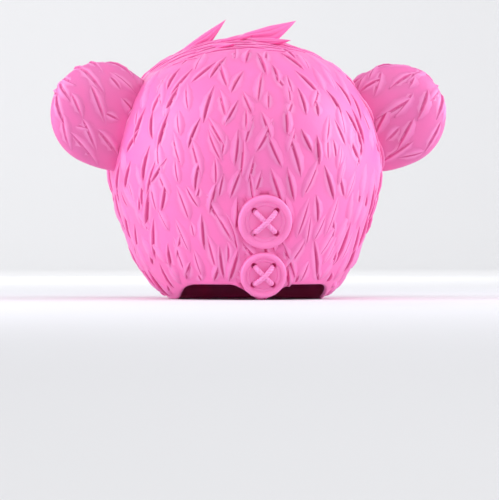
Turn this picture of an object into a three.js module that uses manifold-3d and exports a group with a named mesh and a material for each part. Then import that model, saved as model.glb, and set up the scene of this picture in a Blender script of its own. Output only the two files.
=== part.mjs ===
// A full-head bear mask of moulded latex, standing on its neck rim.
// The head is a hollow shell whose outside is sculpted in overlapping fur locks. Two round ears, a swept tuft of
// hair and a nose are set on it, and two sewn buttons close it at the nape.
// Millimetres, +Z up. The face looks along -Y, and the origin is under the middle of the mask, on the rim's plane.
import * as THREE from "three";
import { mergeVertices } from "three/addons/utils/BufferGeometryUtils.js";
import Module from "manifold-3d";

const wasm = await Module();
wasm.setup();

// The head shell
const headHalfWidth = 127;
const headHeight = 240;
const headBack = 121;
const headFront = 110;
const wall = 2.5;
const seatGap = 0.3;
const landingGap = 1.2;
const finestEdge = 0.005;
const sameCorner = 1e-4;
const surfaceSlip = 0.005;
const crownEnd = 0.01;
const rimEnd = 0.99;
const crownHalf = 0.5;
const finestHalving = 30;

// The fur, sculpted as tiers of pointed locks
const lockCount = 40;
const headTiers = 12;
const hollowColumns = 32;
const earTiers = 4;
const lockLift = 3;
const lockRoot = 0.3;
const lockPoint = 8;
const lockPointLeast = 0.6;
const lockPointSpread = 0.6;
const lockLiftLeast = 0.7;
const lockLiftSpread = 0.3;
const valleyLift = 0.35;
const furFade = 10;
const scatterByLock = 12.9898;
const scatterByTier = 78.233;
const scatterSpread = 43758.5453;

// The rim round the neck: flat in front and at the sides, lifted at the nape, with a tab under the lower button
const napeLift = 14;
const napeFrom = 12;
const napeTo = 48;
const tabMargin = 3;

// The muzzle
const muzzleHalfWidth = 50;
const muzzleHalfHeight = 39;
const muzzleReach = 52;
const muzzleHeight = 84;
const muzzleSink = 8;
const muzzleSides = 20;
const muzzleRows = 12;
const noseHalfWidth = 20;
const noseHalfHeight = 13;
const noseReach = 10;
const noseRise = 22;
const noseSides = 16;
const noseRows = 12;
const mouthHalfWidth = 24;
const mouthGap = 6.5;
const mouthDrop = 18;
const mouthBend = 60;
const mouthSteps = 8;

// The eye openings
const eyeSpacing = 76;
const eyeRise = 52;
const eyeHalfWidth = 14.5;
const eyeHalfHeight = 16;
const eyeRim = 3.2;
const eyeBare = 2 * eyeRim;
const eyeSides = 20;
const eyeRimSides = 6;

// The ears
const earRadius = 47.5;
const earStandOff = 20;
const earHeight = 170;
const earBackDepth = 19;
const earFrontDepth = 13;
const earDish = 14;
const earDishRadius = 0.8;
const earSet = 20;
const earLean = 24;
const earTurn = -8;
const earColumns = 24;
const earRootSweep = 0.2;
const earFurFrom = 0.28;
const earFurTo = 0.86;
const earEdgeSweep = 0.95;
const earHollowRows = 6;

// The buttons and their thread
const upperButtonRadius = 24.5;
const lowerButtonRadius = 21;
const buttonThickness = 5;
const buttonRim = 5.5;
const buttonRimRound = 1.4;
const buttonRecess = 2;
const buttonHole = 2.6;
const buttonHoleShare = 0.43;
const holeDepth = 2.4;
const buttonSides = 24;
const holeSides = 8;
const threadRadius = 1.4;
const threadRise = 1.2;
const threadSteps = 8;
const threadSides = 6;
const lowerButtonFoot = 2;

// The tuft on the crown
const tuftWidth = 18;
const tuftThickness = 8;
const tuftPadWidth = 110;
const tuftPadDepth = 56;
const tuftPadAside = 18;
const tuftPadTilt = 7.5;
const tuftPadLift = 6;
const tuftPadSink = 8;
const tuftPadSides = 16;
const tuftPadRows = 10;
const tuftRootSwell = 0.12;
const tuftRootShare = 1 / 3;
const tuftSteps = 6;
const tuftSides = 6;

// Sections of the head from the crown down to the rim. down is a share of the head's height, wide of its half
// width, front and back of its two reaches.
const headSections = [
  { down: 0.0, wide: 0.0, front: 0.0, back: 0.0 },
  { down: 0.017, wide: 0.24, front: 0.27, back: 0.27 },
  { down: 0.058, wide: 0.495, front: 0.53, back: 0.53 },
  { down: 0.133, wide: 0.72, front: 0.75, back: 0.75 },
  { down: 0.233, wide: 0.87, front: 0.9, back: 0.91 },
  { down: 0.35, wide: 0.96, front: 0.975, back: 0.985 },
  { down: 0.483, wide: 1.0, front: 1.0, back: 1.0 },
  { down: 0.6, wide: 0.967, front: 0.99, back: 0.98 },
  { down: 0.725, wide: 0.887, front: 0.945, back: 0.94 },
  { down: 0.85, wide: 0.795, front: 0.86, back: 0.89 },
  { down: 0.942, wide: 0.672, front: 0.77, back: 0.845 },
  { down: 1.0, wide: 0.552, front: 0.7, back: 0.81 },
];

// Locks of the tuft. aside and behind place the root from the pad's middle, as shares of its width and depth.
// heading is the way it sweeps, in degrees from +X towards the back. reach is its length over the crown and rise its
// tip's height over the crown there, both in lock widths, and size is its own size beside the others.
const tuftLocks = [
  { aside: 0.43, behind: -0.05, heading: 180, reach: 2.9, rise: 0.75, size: 1.0 },
  { aside: 0.04, behind: 0.05, heading: 181, reach: 3.9, rise: 1.05, size: 1.1 },
  { aside: 0.24, behind: -0.25, heading: 176, reach: 3.6, rise: 0.55, size: 0.95 },
  { aside: 0.11, behind: -0.3, heading: 196, reach: 3.4, rise: 0.5, size: 1.0 },
  { aside: 0.29, behind: 0.2, heading: 160, reach: 3.2, rise: 0.35, size: 1.0 },
  { aside: -0.07, behind: 0.25, heading: 150, reach: 3.0, rise: 0.4, size: 1.05 },
  { aside: 0.2, behind: 0.28, heading: 118, reach: 2.6, rise: 0.25, size: 0.9 },
  { aside: -0.16, behind: -0.3, heading: 225, reach: 2.6, rise: 0.3, size: 0.9 },
];

const latexPink = new THREE.Color(0.96, 0.36, 0.64);
const nosePlum = new THREE.Color(0.3, 0.07, 0.16);
const latex = new THREE.MeshStandardMaterial({ color: latexPink, roughness: 0.5, metalness: 0 });
const noseGloss = new THREE.MeshStandardMaterial({ color: nosePlum, roughness: 0.2, metalness: 0 });

const degree = Math.PI / 180;
const eyeHeight = muzzleHeight + eyeRise;

function smoothstep(low, high, value) {
  return THREE.MathUtils.smoothstep(value, low, high);
}

// A closed body through rings of points, each ring with as many points as the next. Its ends are fans to a point.
function loft(rings, firstPoint, lastPoint) {
  const columns = rings[0].length;
  const points = [firstPoint, ...rings.flat(), lastPoint];
  const at = (ring, column) => 1 + ring * columns + (column % columns);
  const faces = [];
  for (let column = 0; column < columns; column++) {
    faces.push([0, at(0, column), at(0, column + 1)]);
    for (let ring = 0; ring + 1 < rings.length; ring++) {
      const [a, b] = [at(ring, column), at(ring, column + 1)];
      const [c, d] = [at(ring + 1, column), at(ring + 1, column + 1)];
      faces.push([a, c, d], [a, d, b]);
    }
    faces.push([points.length - 1, at(rings.length - 1, column + 1), at(rings.length - 1, column)]);
  }
  const geometry = new THREE.BufferGeometry().setFromPoints(points);
  geometry.setIndex(faces.flat());
  return geometry;
}

// The solid of a closed geometry, for joining and cutting. A body that is wound inwards is turned round.
function solid(geometry) {
  const bare = new THREE.BufferGeometry();
  bare.setAttribute("position", geometry.getAttribute("position"));
  bare.setIndex(geometry.index);
  const merged = mergeVertices(bare, sameCorner);
  const corners = new Uint32Array(merged.index.array);
  const made = () =>
    new wasm.Manifold(
      new wasm.Mesh({ numProp: 3, vertProperties: merged.attributes.position.array, triVerts: corners }),
    );
  const first = made();
  if (first.volume() > 0) return first;
  for (let i = 0; i < corners.length; i += 3) {
    [corners[i + 1], corners[i + 2]] = [corners[i + 2], corners[i + 1]];
  }
  return made();
}

// The geometry of a solid. Corners that a cut leaves closer than finestEdge become one, and faces that this
// closes up go.
function geometryOf(body) {
  const mesh = body.getMesh();
  const cut = new THREE.BufferGeometry();
  cut.setAttribute("position", new THREE.BufferAttribute(new Float32Array(mesh.vertProperties), 3));
  cut.setIndex(new THREE.BufferAttribute(new Uint32Array(mesh.triVerts), 1));
  const geometry = mergeVertices(cut, finestEdge);
  const corners = [...geometry.index.array];
  const isFace = (i) => new Set(corners.slice(i - (i % 3), i - (i % 3) + 3)).size === 3;
  geometry.setIndex(corners.filter((corner, i) => isFace(i)));
  geometry.computeVertexNormals();
  return geometry;
}

// The head's sections as one smooth curve of values, read by the way from the crown (0) to the rim (1)
const sectionWays = [0];
for (let i = 1; i < headSections.length; i++) {
  const [last, next] = [headSections[i - 1], headSections[i]];
  const across = (next.wide - last.wide) * headHalfWidth;
  const fall = (next.down - last.down) * headHeight;
  sectionWays.push(sectionWays[i - 1] + Math.hypot(across, fall));
}
const meridianLength = sectionWays.at(-1);
const sectionValues = headSections.map(({ down, wide, front, back }) => [down, wide, front, back]);
const sectionCurve = new THREE.CubicInterpolant(
  sectionWays.map((way) => way / meridianLength),
  sectionValues.flat(),
  sectionValues[0].length,
);

// The value between two others at which isBefore stops being true
function halved(low, high, isBefore) {
  for (let i = 0; i < finestHalving; i++) {
    const middle = (low + high) / 2;
    if (isBefore(middle)) low = middle;
    else high = middle;
  }
  return high;
}

// The way down the head at which it comes to a height
function wayAtHeight(height) {
  return halved(0, 1, (way) => headHeight * (1 - sectionCurve.evaluate(way)[0]) > height);
}

// The rim's height in the direction turn, in degrees from +X towards the back
function rimHeight(turn) {
  const behind = Math.sin(turn * degree);
  if (behind <= 0) return 0;
  const fromSide = Math.asin(behind) / degree;
  const aside = Math.abs(Math.cos(turn * degree)) * headSections.at(-1).wide * headHalfWidth;
  const tab = 1 - smoothstep(0, lowerButtonRadius + tabMargin, aside);
  return napeLift * smoothstep(napeFrom, napeTo, fromSide) * (1 - tab);
}

// A point of the head's smooth outside, or of its inside, where the wall's depth is taken in from the outside:
// downwards at the crown, and more and more sideways towards the rim
function headPoint(way, turn, depth = 0) {
  const [down, wide, front, back] = sectionCurve.evaluate(THREE.MathUtils.clamp(way, 0, 1));
  const [cos, sin] = [Math.cos(turn * degree), Math.sin(turn * degree)];
  const reach = sin > 0 ? back * headBack : front * headFront;
  const point = new THREE.Vector3(wide * headHalfWidth * cos, reach * sin, headHeight * (1 - down));
  if (!depth) return point;
  const inward = new THREE.Vector3(cos, sin, 0).multiplyScalar(-Math.sin((way * Math.PI) / 2));
  inward.z = -Math.cos((way * Math.PI) / 2);
  return point.addScaledVector(inward, -depth / inward.dot(headNormal(way, turn)));
}

// The way that a surface faces, from points close to either side. It runs along way and then round by column.
function normalOn(pointAt, way, column) {
  const along = pointAt(way + surfaceSlip, column).sub(pointAt(way - surfaceSlip, column));
  const round = pointAt(way, column + surfaceSlip).sub(pointAt(way, column - surfaceSlip));
  return along.cross(round).normalize();
}

function headNormal(way, turn) {
  if (way < crownEnd) return new THREE.Vector3(0, 0, 1);
  return normalOn((w, t) => headPoint(w, t), Math.min(way, rimEnd), turn);
}

// The head's smooth surface at a height and a distance aside, in front (facing -1) or behind (facing 1)
function headAt(aside, height, facing) {
  const way = wayAtHeight(height);
  const halfWidth = sectionCurve.evaluate(way)[1] * headHalfWidth;
  const turn = (facing * Math.acos(aside / halfWidth)) / degree;
  return { point: headPoint(way, turn), normal: headNormal(way, turn) };
}

// The crown's surface straight under a place
function crownAt(x, y) {
  const turn = Math.atan2(y, x) / degree;
  const reach = (way) => headPoint(way, turn).setZ(0).length();
  return headPoint(halved(0, crownHalf, (way) => reach(way) < Math.hypot(x, y)), turn);
}

const earReach = headPoint(wayAtHeight(earHeight), 0).x + earStandOff;
const earCentre = new THREE.Vector3(earReach, earSet, earHeight);
const upperButtonHeight = lowerButtonFoot + 2 * lowerButtonRadius + 2 * landingGap + upperButtonRadius;
const lowerButtonHeight = lowerButtonFoot + lowerButtonRadius;
const muzzleCentre = new THREE.Vector3(0, -headFront + muzzleSink, muzzleHeight);

// Where the fur runs out: on the muzzle, round the eyes, and where another piece is seated
const bareSpots = [
  { centre: muzzleCentre.clone().setY(-headFront), radius: muzzleHalfWidth },
  { centre: headAt(eyeSpacing / 2, eyeHeight, -1).point, radius: eyeHalfHeight + eyeBare },
  { centre: headAt(-eyeSpacing / 2, eyeHeight, -1).point, radius: eyeHalfHeight + eyeBare },
  { centre: earCentre, radius: earRadius + lockLift },
  { centre: earCentre.clone().setX(-earReach), radius: earRadius + lockLift },
  { centre: headAt(0, upperButtonHeight, 1).point, radius: upperButtonRadius + landingGap },
  { centre: headAt(0, lowerButtonHeight, 1).point, radius: lowerButtonRadius + landingGap },
  ...[-1, 0, 1].map((side) => {
    const x = tuftPadAside + (side * (tuftPadWidth - tuftPadDepth)) / 2;
    return { centre: crownAt(x, 0), radius: tuftPadDepth / 2 };
  }),
];

function furAmount(point) {
  return bareSpots.reduce(
    (amount, { centre, radius }) => amount * smoothstep(radius, radius + furFade, point.distanceTo(centre)),
    1,
  );
}

// An even scatter between 0 and 1, the same for the same lock each time
function scatter(lock, tier) {
  const wave = Math.sin(lock * scatterByLock + tier * scatterByTier) * scatterSpread;
  return wave - Math.floor(wave);
}

// Rings for tiers of pointed locks on a surface. Each tier rises to its zigzag lower edge, and the next one starts
// below that edge. pointOf(way, column) and normalOf(way, column) give the bare surface. grow makes them all larger,
// outwards and past their tips.
function furRings({ tiers, columns, from, to, wayLength, grow, pointOf, normalOf, amountOf, plainEnd }) {
  const rings = [];
  for (let tier = 1; tier <= tiers; tier++) {
    const isLast = tier === tiers;
    const edge = from + ((to - from) * tier) / tiers;
    const tips = [];
    const under = [];
    for (let column = 0; column < columns; column++) {
      const chance = scatter(Math.floor(column / 2), tier);
      const isTip = column % 2 === tier % 2;
      const swing = (lockPoint * (lockPointLeast + lockPointSpread * chance)) / wayLength;
      const way = isLast && plainEnd ? edge : edge + (isTip ? swing : -swing) + grow / wayLength;
      const bare = pointOf(way, column);
      const normal = normalOf(way, column);
      const tipShare = lockLiftLeast + lockLiftSpread * chance;
      const share = (isTip ? tipShare : valleyLift) * amountOf(bare, way, column);
      const lift = lockRoot + grow + (isLast && plainEnd ? 0 : lockLift * share);
      const raised = bare.clone().addScaledVector(normal, lift);
      tips.push(isLast && plainEnd ? raised.setZ(bare.z - grow) : raised);
      under.push(bare.clone().addScaledVector(normal, grow));
    }
    rings.push(tips);
    if (!isLast || !plainEnd) rings.push(under);
  }
  return rings;
}

const headColumns = 2 * lockCount;
const turnOf = (column) => (column * 360) / headColumns;
const columnsEach = [...Array(headColumns).keys()];
const rimWays = columnsEach.map((column) => wayAtHeight(rimHeight(turnOf(column))));
const rimMiddle = new THREE.Vector3(0, 0, 0);

// The furred head, or the same grown by a clearance, which trims the pieces that are seated on it
function furredHead(grow) {
  const rings = furRings({
    tiers: headTiers,
    columns: headColumns,
    from: 0,
    to: 1,
    wayLength: meridianLength,
    grow,
    pointOf: (way, column) => headPoint(way * rimWays[column], turnOf(column)),
    normalOf: (way, column) => headNormal(way * rimWays[column], turnOf(column)),
    amountOf: furAmount,
    plainEnd: true,
  });
  return solid(loft(rings, headPoint(0, 0).setZ(headHeight + grow), rimMiddle.clone().setZ(-grow)));
}

// The inside of the wall, which runs out below the rim
function headHollow() {
  const turns = [...Array(hollowColumns).keys()].map((column) => (column * 360) / hollowColumns);
  const rings = [];
  for (let tier = 1; tier <= headTiers; tier++) {
    rings.push(turns.map((turn) => headPoint((tier / headTiers) * wayAtHeight(rimHeight(turn)), turn, wall)));
  }
  rings.push(rings.at(-1).map((point) => point.clone().setZ(-2 * wall)));
  return solid(loft(rings, headPoint(0, 0, wall), rimMiddle.clone().setZ(-3 * wall)));
}

function ellipsoid(halfX, halfY, halfZ, centre, sides, rows) {
  const geometry = new THREE.SphereGeometry(1, sides, rows);
  geometry.rotateX(Math.PI / 2);
  geometry.scale(halfX, halfY, halfZ);
  geometry.translate(centre.x, centre.y, centre.z);
  return solid(geometry);
}

function muzzle(grow) {
  const [halfWidth, reach, halfHeight] = [muzzleHalfWidth + grow, muzzleReach + grow, muzzleHalfHeight + grow];
  return ellipsoid(halfWidth, reach, halfHeight, muzzleCentre, muzzleSides, muzzleRows);
}

// The opening of an eye, cut straight through the front
function eyeCutter(side) {
  const geometry = new THREE.CylinderGeometry(1, 1, headFront, eyeSides);
  geometry.scale(eyeHalfWidth, 1, eyeHalfHeight);
  geometry.translate((side * eyeSpacing) / 2, -headFront, eyeHeight);
  return solid(geometry);
}

// The raised rim of an eye, a ring that lies on the head's surface
function eyeRing(side) {
  const { point, normal } = headAt((side * eyeSpacing) / 2, eyeHeight, -1);
  const flat = new THREE.TorusGeometry(1, eyeRim / eyeHalfWidth, eyeRimSides, eyeSides);
  flat.scale(eyeHalfWidth, eyeHalfHeight, eyeHalfWidth);
  flat.rotateX(Math.PI / 2);
  const lean = new THREE.Quaternion().setFromUnitVectors(new THREE.Vector3(0, -1, 0), normal);
  flat.applyQuaternion(lean);
  flat.translate(point.x, point.y, point.z);
  return solid(flat);
}

// A smiling slot of even width through the muzzle, for breath and speech
function mouthCutter() {
  const halfAngle = Math.asin(mouthHalfWidth / mouthBend);
  const [start, end] = [-Math.PI / 2 - halfAngle, -Math.PI / 2 + halfAngle];
  const shape = new THREE.Shape();
  shape.absarc(0, 0, mouthBend + mouthGap / 2, start, end, false);
  shape.absarc(0, 0, mouthBend - mouthGap / 2, end, start, true);
  const geometry = new THREE.ExtrudeGeometry(shape, {
    depth: 2 * muzzleReach,
    bevelEnabled: false,
    curveSegments: mouthSteps,
  });
  geometry.rotateX(Math.PI / 2);
  geometry.translate(0, muzzleCentre.y, muzzleHeight - mouthDrop + mouthBend);
  return solid(geometry);
}

function headShell() {
  const outside = furredHead(0).add(muzzle(0)).add(eyeRing(1)).add(eyeRing(-1));
  const hollow = headHollow().add(muzzle(-wall));
  return outside.subtract(hollow).subtract(eyeCutter(1)).subtract(eyeCutter(-1)).subtract(mouthCutter());
}

// An ear is a round lobe with a dished front, lofted along its own axis from inside the head to its outer edge.
// sweep runs from the root (0) to the outer edge (1), and inset takes the surface in by the wall.
const earColumnsEach = [...Array(earColumns).keys()];
const earAngle = (column) => (column * 360 * degree) / earColumns;

function earPoint(sweep, column, inset = 0) {
  const out = -Math.cos(sweep * Math.PI);
  const across = Math.sin(sweep * Math.PI) * Math.cos(earAngle(column));
  const deep = Math.sin(sweep * Math.PI) * Math.sin(earAngle(column));
  const fromCentre = Math.hypot(out, across) / earDishRadius;
  const isFront = deep < 0;
  const dish = isFront && fromCentre < 1 ? earDish * (1 - fromCentre ** 2) ** 2 : 0;
  const depth = deep * ((isFront ? earFrontDepth : earBackDepth) - inset) + dish;
  return new THREE.Vector3(out * (earRadius - inset), depth, across * (earRadius - inset));
}

// The fur is on the ear's back, and runs out towards its front
function earOutside() {
  const rings = furRings({
    tiers: earTiers,
    columns: earColumns,
    from: earFurFrom,
    to: earFurTo,
    wayLength: Math.PI * earRadius,
    grow: 0,
    pointOf: (way, column) => earPoint(way, column),
    normalOf: (way, column) => normalOn(earPoint, way, column),
    amountOf: (point, way, column) => Math.sqrt(Math.max(0, Math.sin(earAngle(column)))),
    plainEnd: false,
  });
  const root = earColumnsEach.map((column) => earPoint(earRootSweep, column));
  const edge = earColumnsEach.map((column) => earPoint(earEdgeSweep, column));
  return loft([root, ...rings, edge], earEnd(earRootSweep, 0), earEnd(1, 0));
}

function earHollow() {
  const rings = [];
  for (let row = 0; row <= earHollowRows; row++) {
    const sweep = earRootSweep + ((earEdgeSweep - earRootSweep) * row) / earHollowRows;
    rings.push(earColumnsEach.filter((column) => column % 2 === 0).map((column) => earPoint(sweep, column, wall)));
  }
  return loft(rings, earEnd(earRootSweep, 2 * wall), earEnd(1, wall));
}

function earEnd(sweep, inset) {
  return new THREE.Vector3(-Math.cos(sweep * Math.PI) * (earRadius - inset), 0, 0);
}

function earPlaced(geometry, side) {
  geometry.rotateY(-earLean * degree);
  geometry.rotateZ(-earTurn * degree);
  geometry.translate(earCentre.x, earCentre.y, earCentre.z);
  if (side < 0) geometry.scale(-1, 1, 1);
  return geometry;
}

// The largest body of a cut, without the crumbs beside it
function largest(body) {
  return body.decompose().reduce((most, other) => (other.volume() > most.volume() ? other : most));
}

function ear(side, seat) {
  const [outside, hollow] = [earOutside(), earHollow()].map((geometry) => solid(earPlaced(geometry, side)));
  return largest(outside.subtract(hollow).subtract(seat));
}

// The nose sits astride the muzzle's surface
function nose(clearance) {
  const surface = muzzleReach * Math.sqrt(1 - (noseRise / muzzleHalfHeight) ** 2);
  const centre = new THREE.Vector3(0, muzzleCentre.y - surface, muzzleHeight + noseRise);
  const ball = ellipsoid(noseHalfWidth, noseReach, noseHalfHeight, centre, noseSides, noseRows);
  return ball.subtract(muzzle(clearance));
}

// A round button on the nape: raised rim, sunk middle and four holes. Its back follows the head.
function buttonPlace(height) {
  const { point, normal } = headAt(0, height, 1);
  const turn = new THREE.Quaternion().setFromUnitVectors(new THREE.Vector3(0, 0, 1), normal);
  return new THREE.Matrix4().compose(point, turn, new THREE.Vector3(1, 1, 1));
}

function holeCentres(radius) {
  const aside = radius * buttonHoleShare;
  return [-1, 1].flatMap((x) => [-1, 1].map((y) => new THREE.Vector2(x * aside, y * aside)));
}

function button(radius, height, seat) {
  const floor = buttonThickness - buttonRecess;
  const profile = [
    [0, -buttonThickness],
    [radius, -buttonThickness],
    [radius, buttonThickness - buttonRimRound],
    [radius - buttonRimRound, buttonThickness],
    [radius - buttonRim + buttonRimRound, buttonThickness],
    [radius - buttonRim, floor],
    [0, floor],
  ].map(([r, z]) => new THREE.Vector2(r, z));
  const disc = new THREE.LatheGeometry(profile, buttonSides);
  disc.rotateX(Math.PI / 2);
  let body = solid(disc);
  for (const hole of holeCentres(radius)) {
    const cutter = new THREE.CylinderGeometry(buttonHole, buttonHole, 2 * holeDepth, holeSides);
    cutter.rotateX(Math.PI / 2);
    cutter.translate(hole.x, hole.y, floor);
    body = body.subtract(solid(cutter));
  }
  const placed = geometryOf(body).applyMatrix4(buttonPlace(height));
  return solid(placed).subtract(seat);
}

// Two crossed stitches of cord that go down into the holes
function stitches(radius, height) {
  const floor = buttonThickness - buttonRecess;
  const low = floor - holeDepth / 2;
  const over = floor + seatGap + threadRadius;
  const corners = [...Array(threadSides).keys()].map((corner) =>
    new THREE.Vector2(threadRadius, 0).rotateAround(new THREE.Vector2(), (corner * 360 * degree) / threadSides),
  );
  const section = new THREE.Shape(corners);
  const [a, b, c, d] = holeCentres(radius);
  const bars = [
    [a, d, over],
    [b, c, over + threadRise],
  ].map(([from, to, top]) => {
    const half = from.distanceTo(to) / 2;
    const ahead = to.clone().sub(from).normalize();
    const stops = [
      { along: half, up: low },
      { along: half, up: floor + threadRadius / 2 },
      { along: half - buttonHole, up: over + seatGap },
      { along: 0, up: top },
    ];
    const mirrored = stops.slice(0, -1).reverse().map(({ along, up }) => ({ along: -along, up }));
    const path = new THREE.CatmullRomCurve3(
      [...stops, ...mirrored].map(({ along, up }) => new THREE.Vector3(-ahead.x * along, -ahead.y * along, up)),
    );
    return solid(new THREE.ExtrudeGeometry(section, { steps: threadSteps, extrudePath: path, bevelEnabled: false }));
  });
  const crossed = geometryOf(bars[0].add(bars[1]));
  return solid(crossed.applyMatrix4(buttonPlace(height)));
}

// One lock of the tuft: a flat blade that runs from a narrow root in the pad, over the fur, to its pointed tip
function tuftLock({ aside, behind, heading, reach, rise, size }) {
  const width = tuftWidth * size;
  const thickness = tuftThickness * size;
  const swellAt = (share) => Math.sin(Math.PI * (tuftRootSwell + (1 - tuftRootSwell) * share));
  const rootLift = lockRoot + 2 * seatGap + (thickness * swellAt(0)) / 2;
  const clearLift = lockRoot + lockLift + seatGap + thickness / 2;
  const ahead = new THREE.Vector3(Math.cos(heading * degree), Math.sin(heading * degree), 0);
  const sideways = new THREE.Vector3(-ahead.y, ahead.x, 0);
  const shares = [...Array(tuftSteps + 1).keys()].map((step) => step / tuftSteps);
  const spine = shares.map((share) => {
    const place = new THREE.Vector3(tuftPadAside + aside * tuftPadWidth, behind * tuftPadDepth, 0);
    place.addScaledVector(ahead, share * reach * tuftWidth);
    const lift = THREE.MathUtils.lerp(rootLift, clearLift, smoothstep(0, tuftRootShare, share));
    return place.setZ(crownAt(place.x, place.y).z + lift + rise * tuftWidth * share ** 2);
  });
  const line = new THREE.CatmullRomCurve3(spine);
  const rings = shares.slice(0, -1).map((share, step) => {
    const up = new THREE.Vector3().crossVectors(line.getTangent(share), sideways).normalize();
    return [...Array(tuftSides).keys()].map((corner) => {
      const angle = (corner * 360 * degree) / tuftSides;
      const point = spine[step].clone().addScaledVector(sideways, (Math.cos(angle) * width * swellAt(share)) / 2);
      return point.addScaledVector(up, (Math.sin(angle) * thickness * swellAt(share)) / 2);
    });
  });
  return solid(loft(rings, spine[0], spine.at(-1)));
}

// The tuft's locks rise from a pad that leans with the crown, and pass over the fur round it
function hairTuft(seat) {
  const halfHeight = tuftPadSink + tuftPadLift;
  const middle = new THREE.Vector3(0, 0, 0);
  const flat = ellipsoid(tuftPadWidth / 2, tuftPadDepth / 2, halfHeight, middle, tuftPadSides, tuftPadRows);
  const leaning = geometryOf(flat).rotateY(tuftPadTilt * degree);
  leaning.translate(tuftPadAside, 0, crownAt(tuftPadAside, 0).z - tuftPadSink);
  return largest(tuftLocks.reduce((body, lock) => body.add(tuftLock(lock)), solid(leaning).subtract(seat)));
}

function mesh(name, body, material) {
  const made = new THREE.Mesh(geometryOf(body), material);
  made.name = name;
  return made;
}

const seat = furredHead(seatGap);
const mask = new THREE.Group();
mask.add(
  mesh("head_shell", headShell(), latex),
  mesh("ear_left", ear(1, seat), latex),
  mesh("ear_right", ear(-1, seat), latex),
  mesh("hair_tuft", hairTuft(seat), latex),
  mesh("nose", nose(seatGap), noseGloss),
  mesh("button_upper", button(upperButtonRadius, upperButtonHeight, seat), latex),
  mesh("button_lower", button(lowerButtonRadius, lowerButtonHeight, seat), latex),
  mesh("stitches_upper", stitches(upperButtonRadius, upperButtonHeight), latex),
  mesh("stitches_lower", stitches(lowerButtonRadius, lowerButtonHeight), latex),
);

// The origin goes under the middle of the whole mask, from front to back
const extent = new THREE.Box3().setFromObject(mask);
mask.position.y = -(extent.min.y + extent.max.y) / 2;

export default mask;
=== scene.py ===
"""The looks of a full-head bear mask of moulded pink latex, seen from behind on a pale studio floor."""

import math

import bmesh
import bpy
import numpy as np
from bpy.props import FloatProperty, FloatVectorProperty, IntProperty, PointerProperty
from mathutils import Matrix, Vector


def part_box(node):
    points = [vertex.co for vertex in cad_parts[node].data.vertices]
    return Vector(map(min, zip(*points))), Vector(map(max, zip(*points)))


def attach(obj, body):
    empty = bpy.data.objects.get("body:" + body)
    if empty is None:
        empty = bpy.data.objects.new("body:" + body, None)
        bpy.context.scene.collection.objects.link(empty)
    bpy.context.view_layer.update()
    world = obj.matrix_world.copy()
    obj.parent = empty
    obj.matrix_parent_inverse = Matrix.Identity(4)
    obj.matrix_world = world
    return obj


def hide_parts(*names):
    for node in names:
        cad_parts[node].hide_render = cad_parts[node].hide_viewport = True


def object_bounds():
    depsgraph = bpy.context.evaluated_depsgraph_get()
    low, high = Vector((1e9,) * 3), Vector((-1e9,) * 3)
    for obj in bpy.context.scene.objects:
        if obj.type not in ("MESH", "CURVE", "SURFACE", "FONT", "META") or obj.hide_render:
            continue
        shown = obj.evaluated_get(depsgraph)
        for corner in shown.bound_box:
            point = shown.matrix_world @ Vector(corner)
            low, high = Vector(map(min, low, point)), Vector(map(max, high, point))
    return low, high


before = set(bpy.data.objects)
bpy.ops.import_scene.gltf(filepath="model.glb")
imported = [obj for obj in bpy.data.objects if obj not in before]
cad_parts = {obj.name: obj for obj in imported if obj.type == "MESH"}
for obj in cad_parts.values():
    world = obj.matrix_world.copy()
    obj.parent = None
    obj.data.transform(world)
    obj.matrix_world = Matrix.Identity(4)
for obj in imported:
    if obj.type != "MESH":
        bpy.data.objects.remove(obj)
cad_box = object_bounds()
head_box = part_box("head_shell")

bl_info = {
    "name": "Bear mask",
    "version": (1, 0, 0),
    "blender": (4, 5, 0),
    "location": "View3D > Sidebar > Bear mask",
    "description": "Builds the skin, ears, tuft, nose and buttons of a moulded latex bear mask",
    "category": "Add Mesh",
}

# The head's smooth skin, in metres, as the part has it
HEAD_HALF_WIDTH = 0.127
HEAD_HEIGHT = head_box[1].z
HEAD_BACK = 0.121
HEAD_FRONT = 0.110
HEAD_BEHIND = 0.015535
WALL = 0.0025

# Sections of the head from the crown down to the rim: down is a share of its height, wide of its half width,
# front and back of its two reaches
DOWN, WIDE, FRONT, BACK = range(4)
HEAD_SECTIONS = np.array(
    [
        (0.0, 0.0, 0.0, 0.0),
        (0.017, 0.24, 0.27, 0.27),
        (0.058, 0.495, 0.53, 0.53),
        (0.133, 0.72, 0.75, 0.75),
        (0.233, 0.87, 0.9, 0.91),
        (0.35, 0.96, 0.975, 0.985),
        (0.483, 1.0, 1.0, 1.0),
        (0.6, 0.967, 0.99, 0.98),
        (0.725, 0.887, 0.945, 0.94),
        (0.85, 0.795, 0.86, 0.89),
        (0.942, 0.672, 0.77, 0.845),
        (1.0, 0.552, 0.7, 0.81),
    ]
)

# The rim round the neck: lifted at the nape, with a tab under the lower button
NAPE_LIFT = 0.014
NAPE_FROM = 12.0
NAPE_TO = 48.0
TAB_HALF_WIDTH = 0.024
RIM_ROUND = 0.0008

# The muzzle, which is one skin with the head
MUZZLE_CENTRE = np.array([0.0, -0.102, 0.084])
MUZZLE_RADII = np.array([0.050, 0.052, 0.039])
MUZZLE_GROWS_FROM = np.array([0.0, -0.060, 0.084])
MUZZLE_FILLET = 0.009

# The eyes, the mouth and the nose
EYE_ASIDE = 0.038
EYE_HEIGHT = 0.136
EYE_HALF_WIDTH = 0.0145
EYE_HALF_HEIGHT = 0.016
EYE_RIM = 0.0034
MOUTH_BEND = 0.060
MOUTH_HALF_WIDTH = 0.024
MOUTH_GAP = 0.0062
MOUTH_HEIGHT = 0.066
NOSE_CENTRE = np.array([0.0, -0.1449, 0.106])
NOSE_RADII = np.array([0.020, 0.010, 0.013])
NOSE_NARROWS = 0.22
NOSE_FLATTENS = 0.1
NOSTRIL = {"place": np.array([0.42, -0.8, -0.38]), "depth": 0.34, "radius": 0.26}

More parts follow.
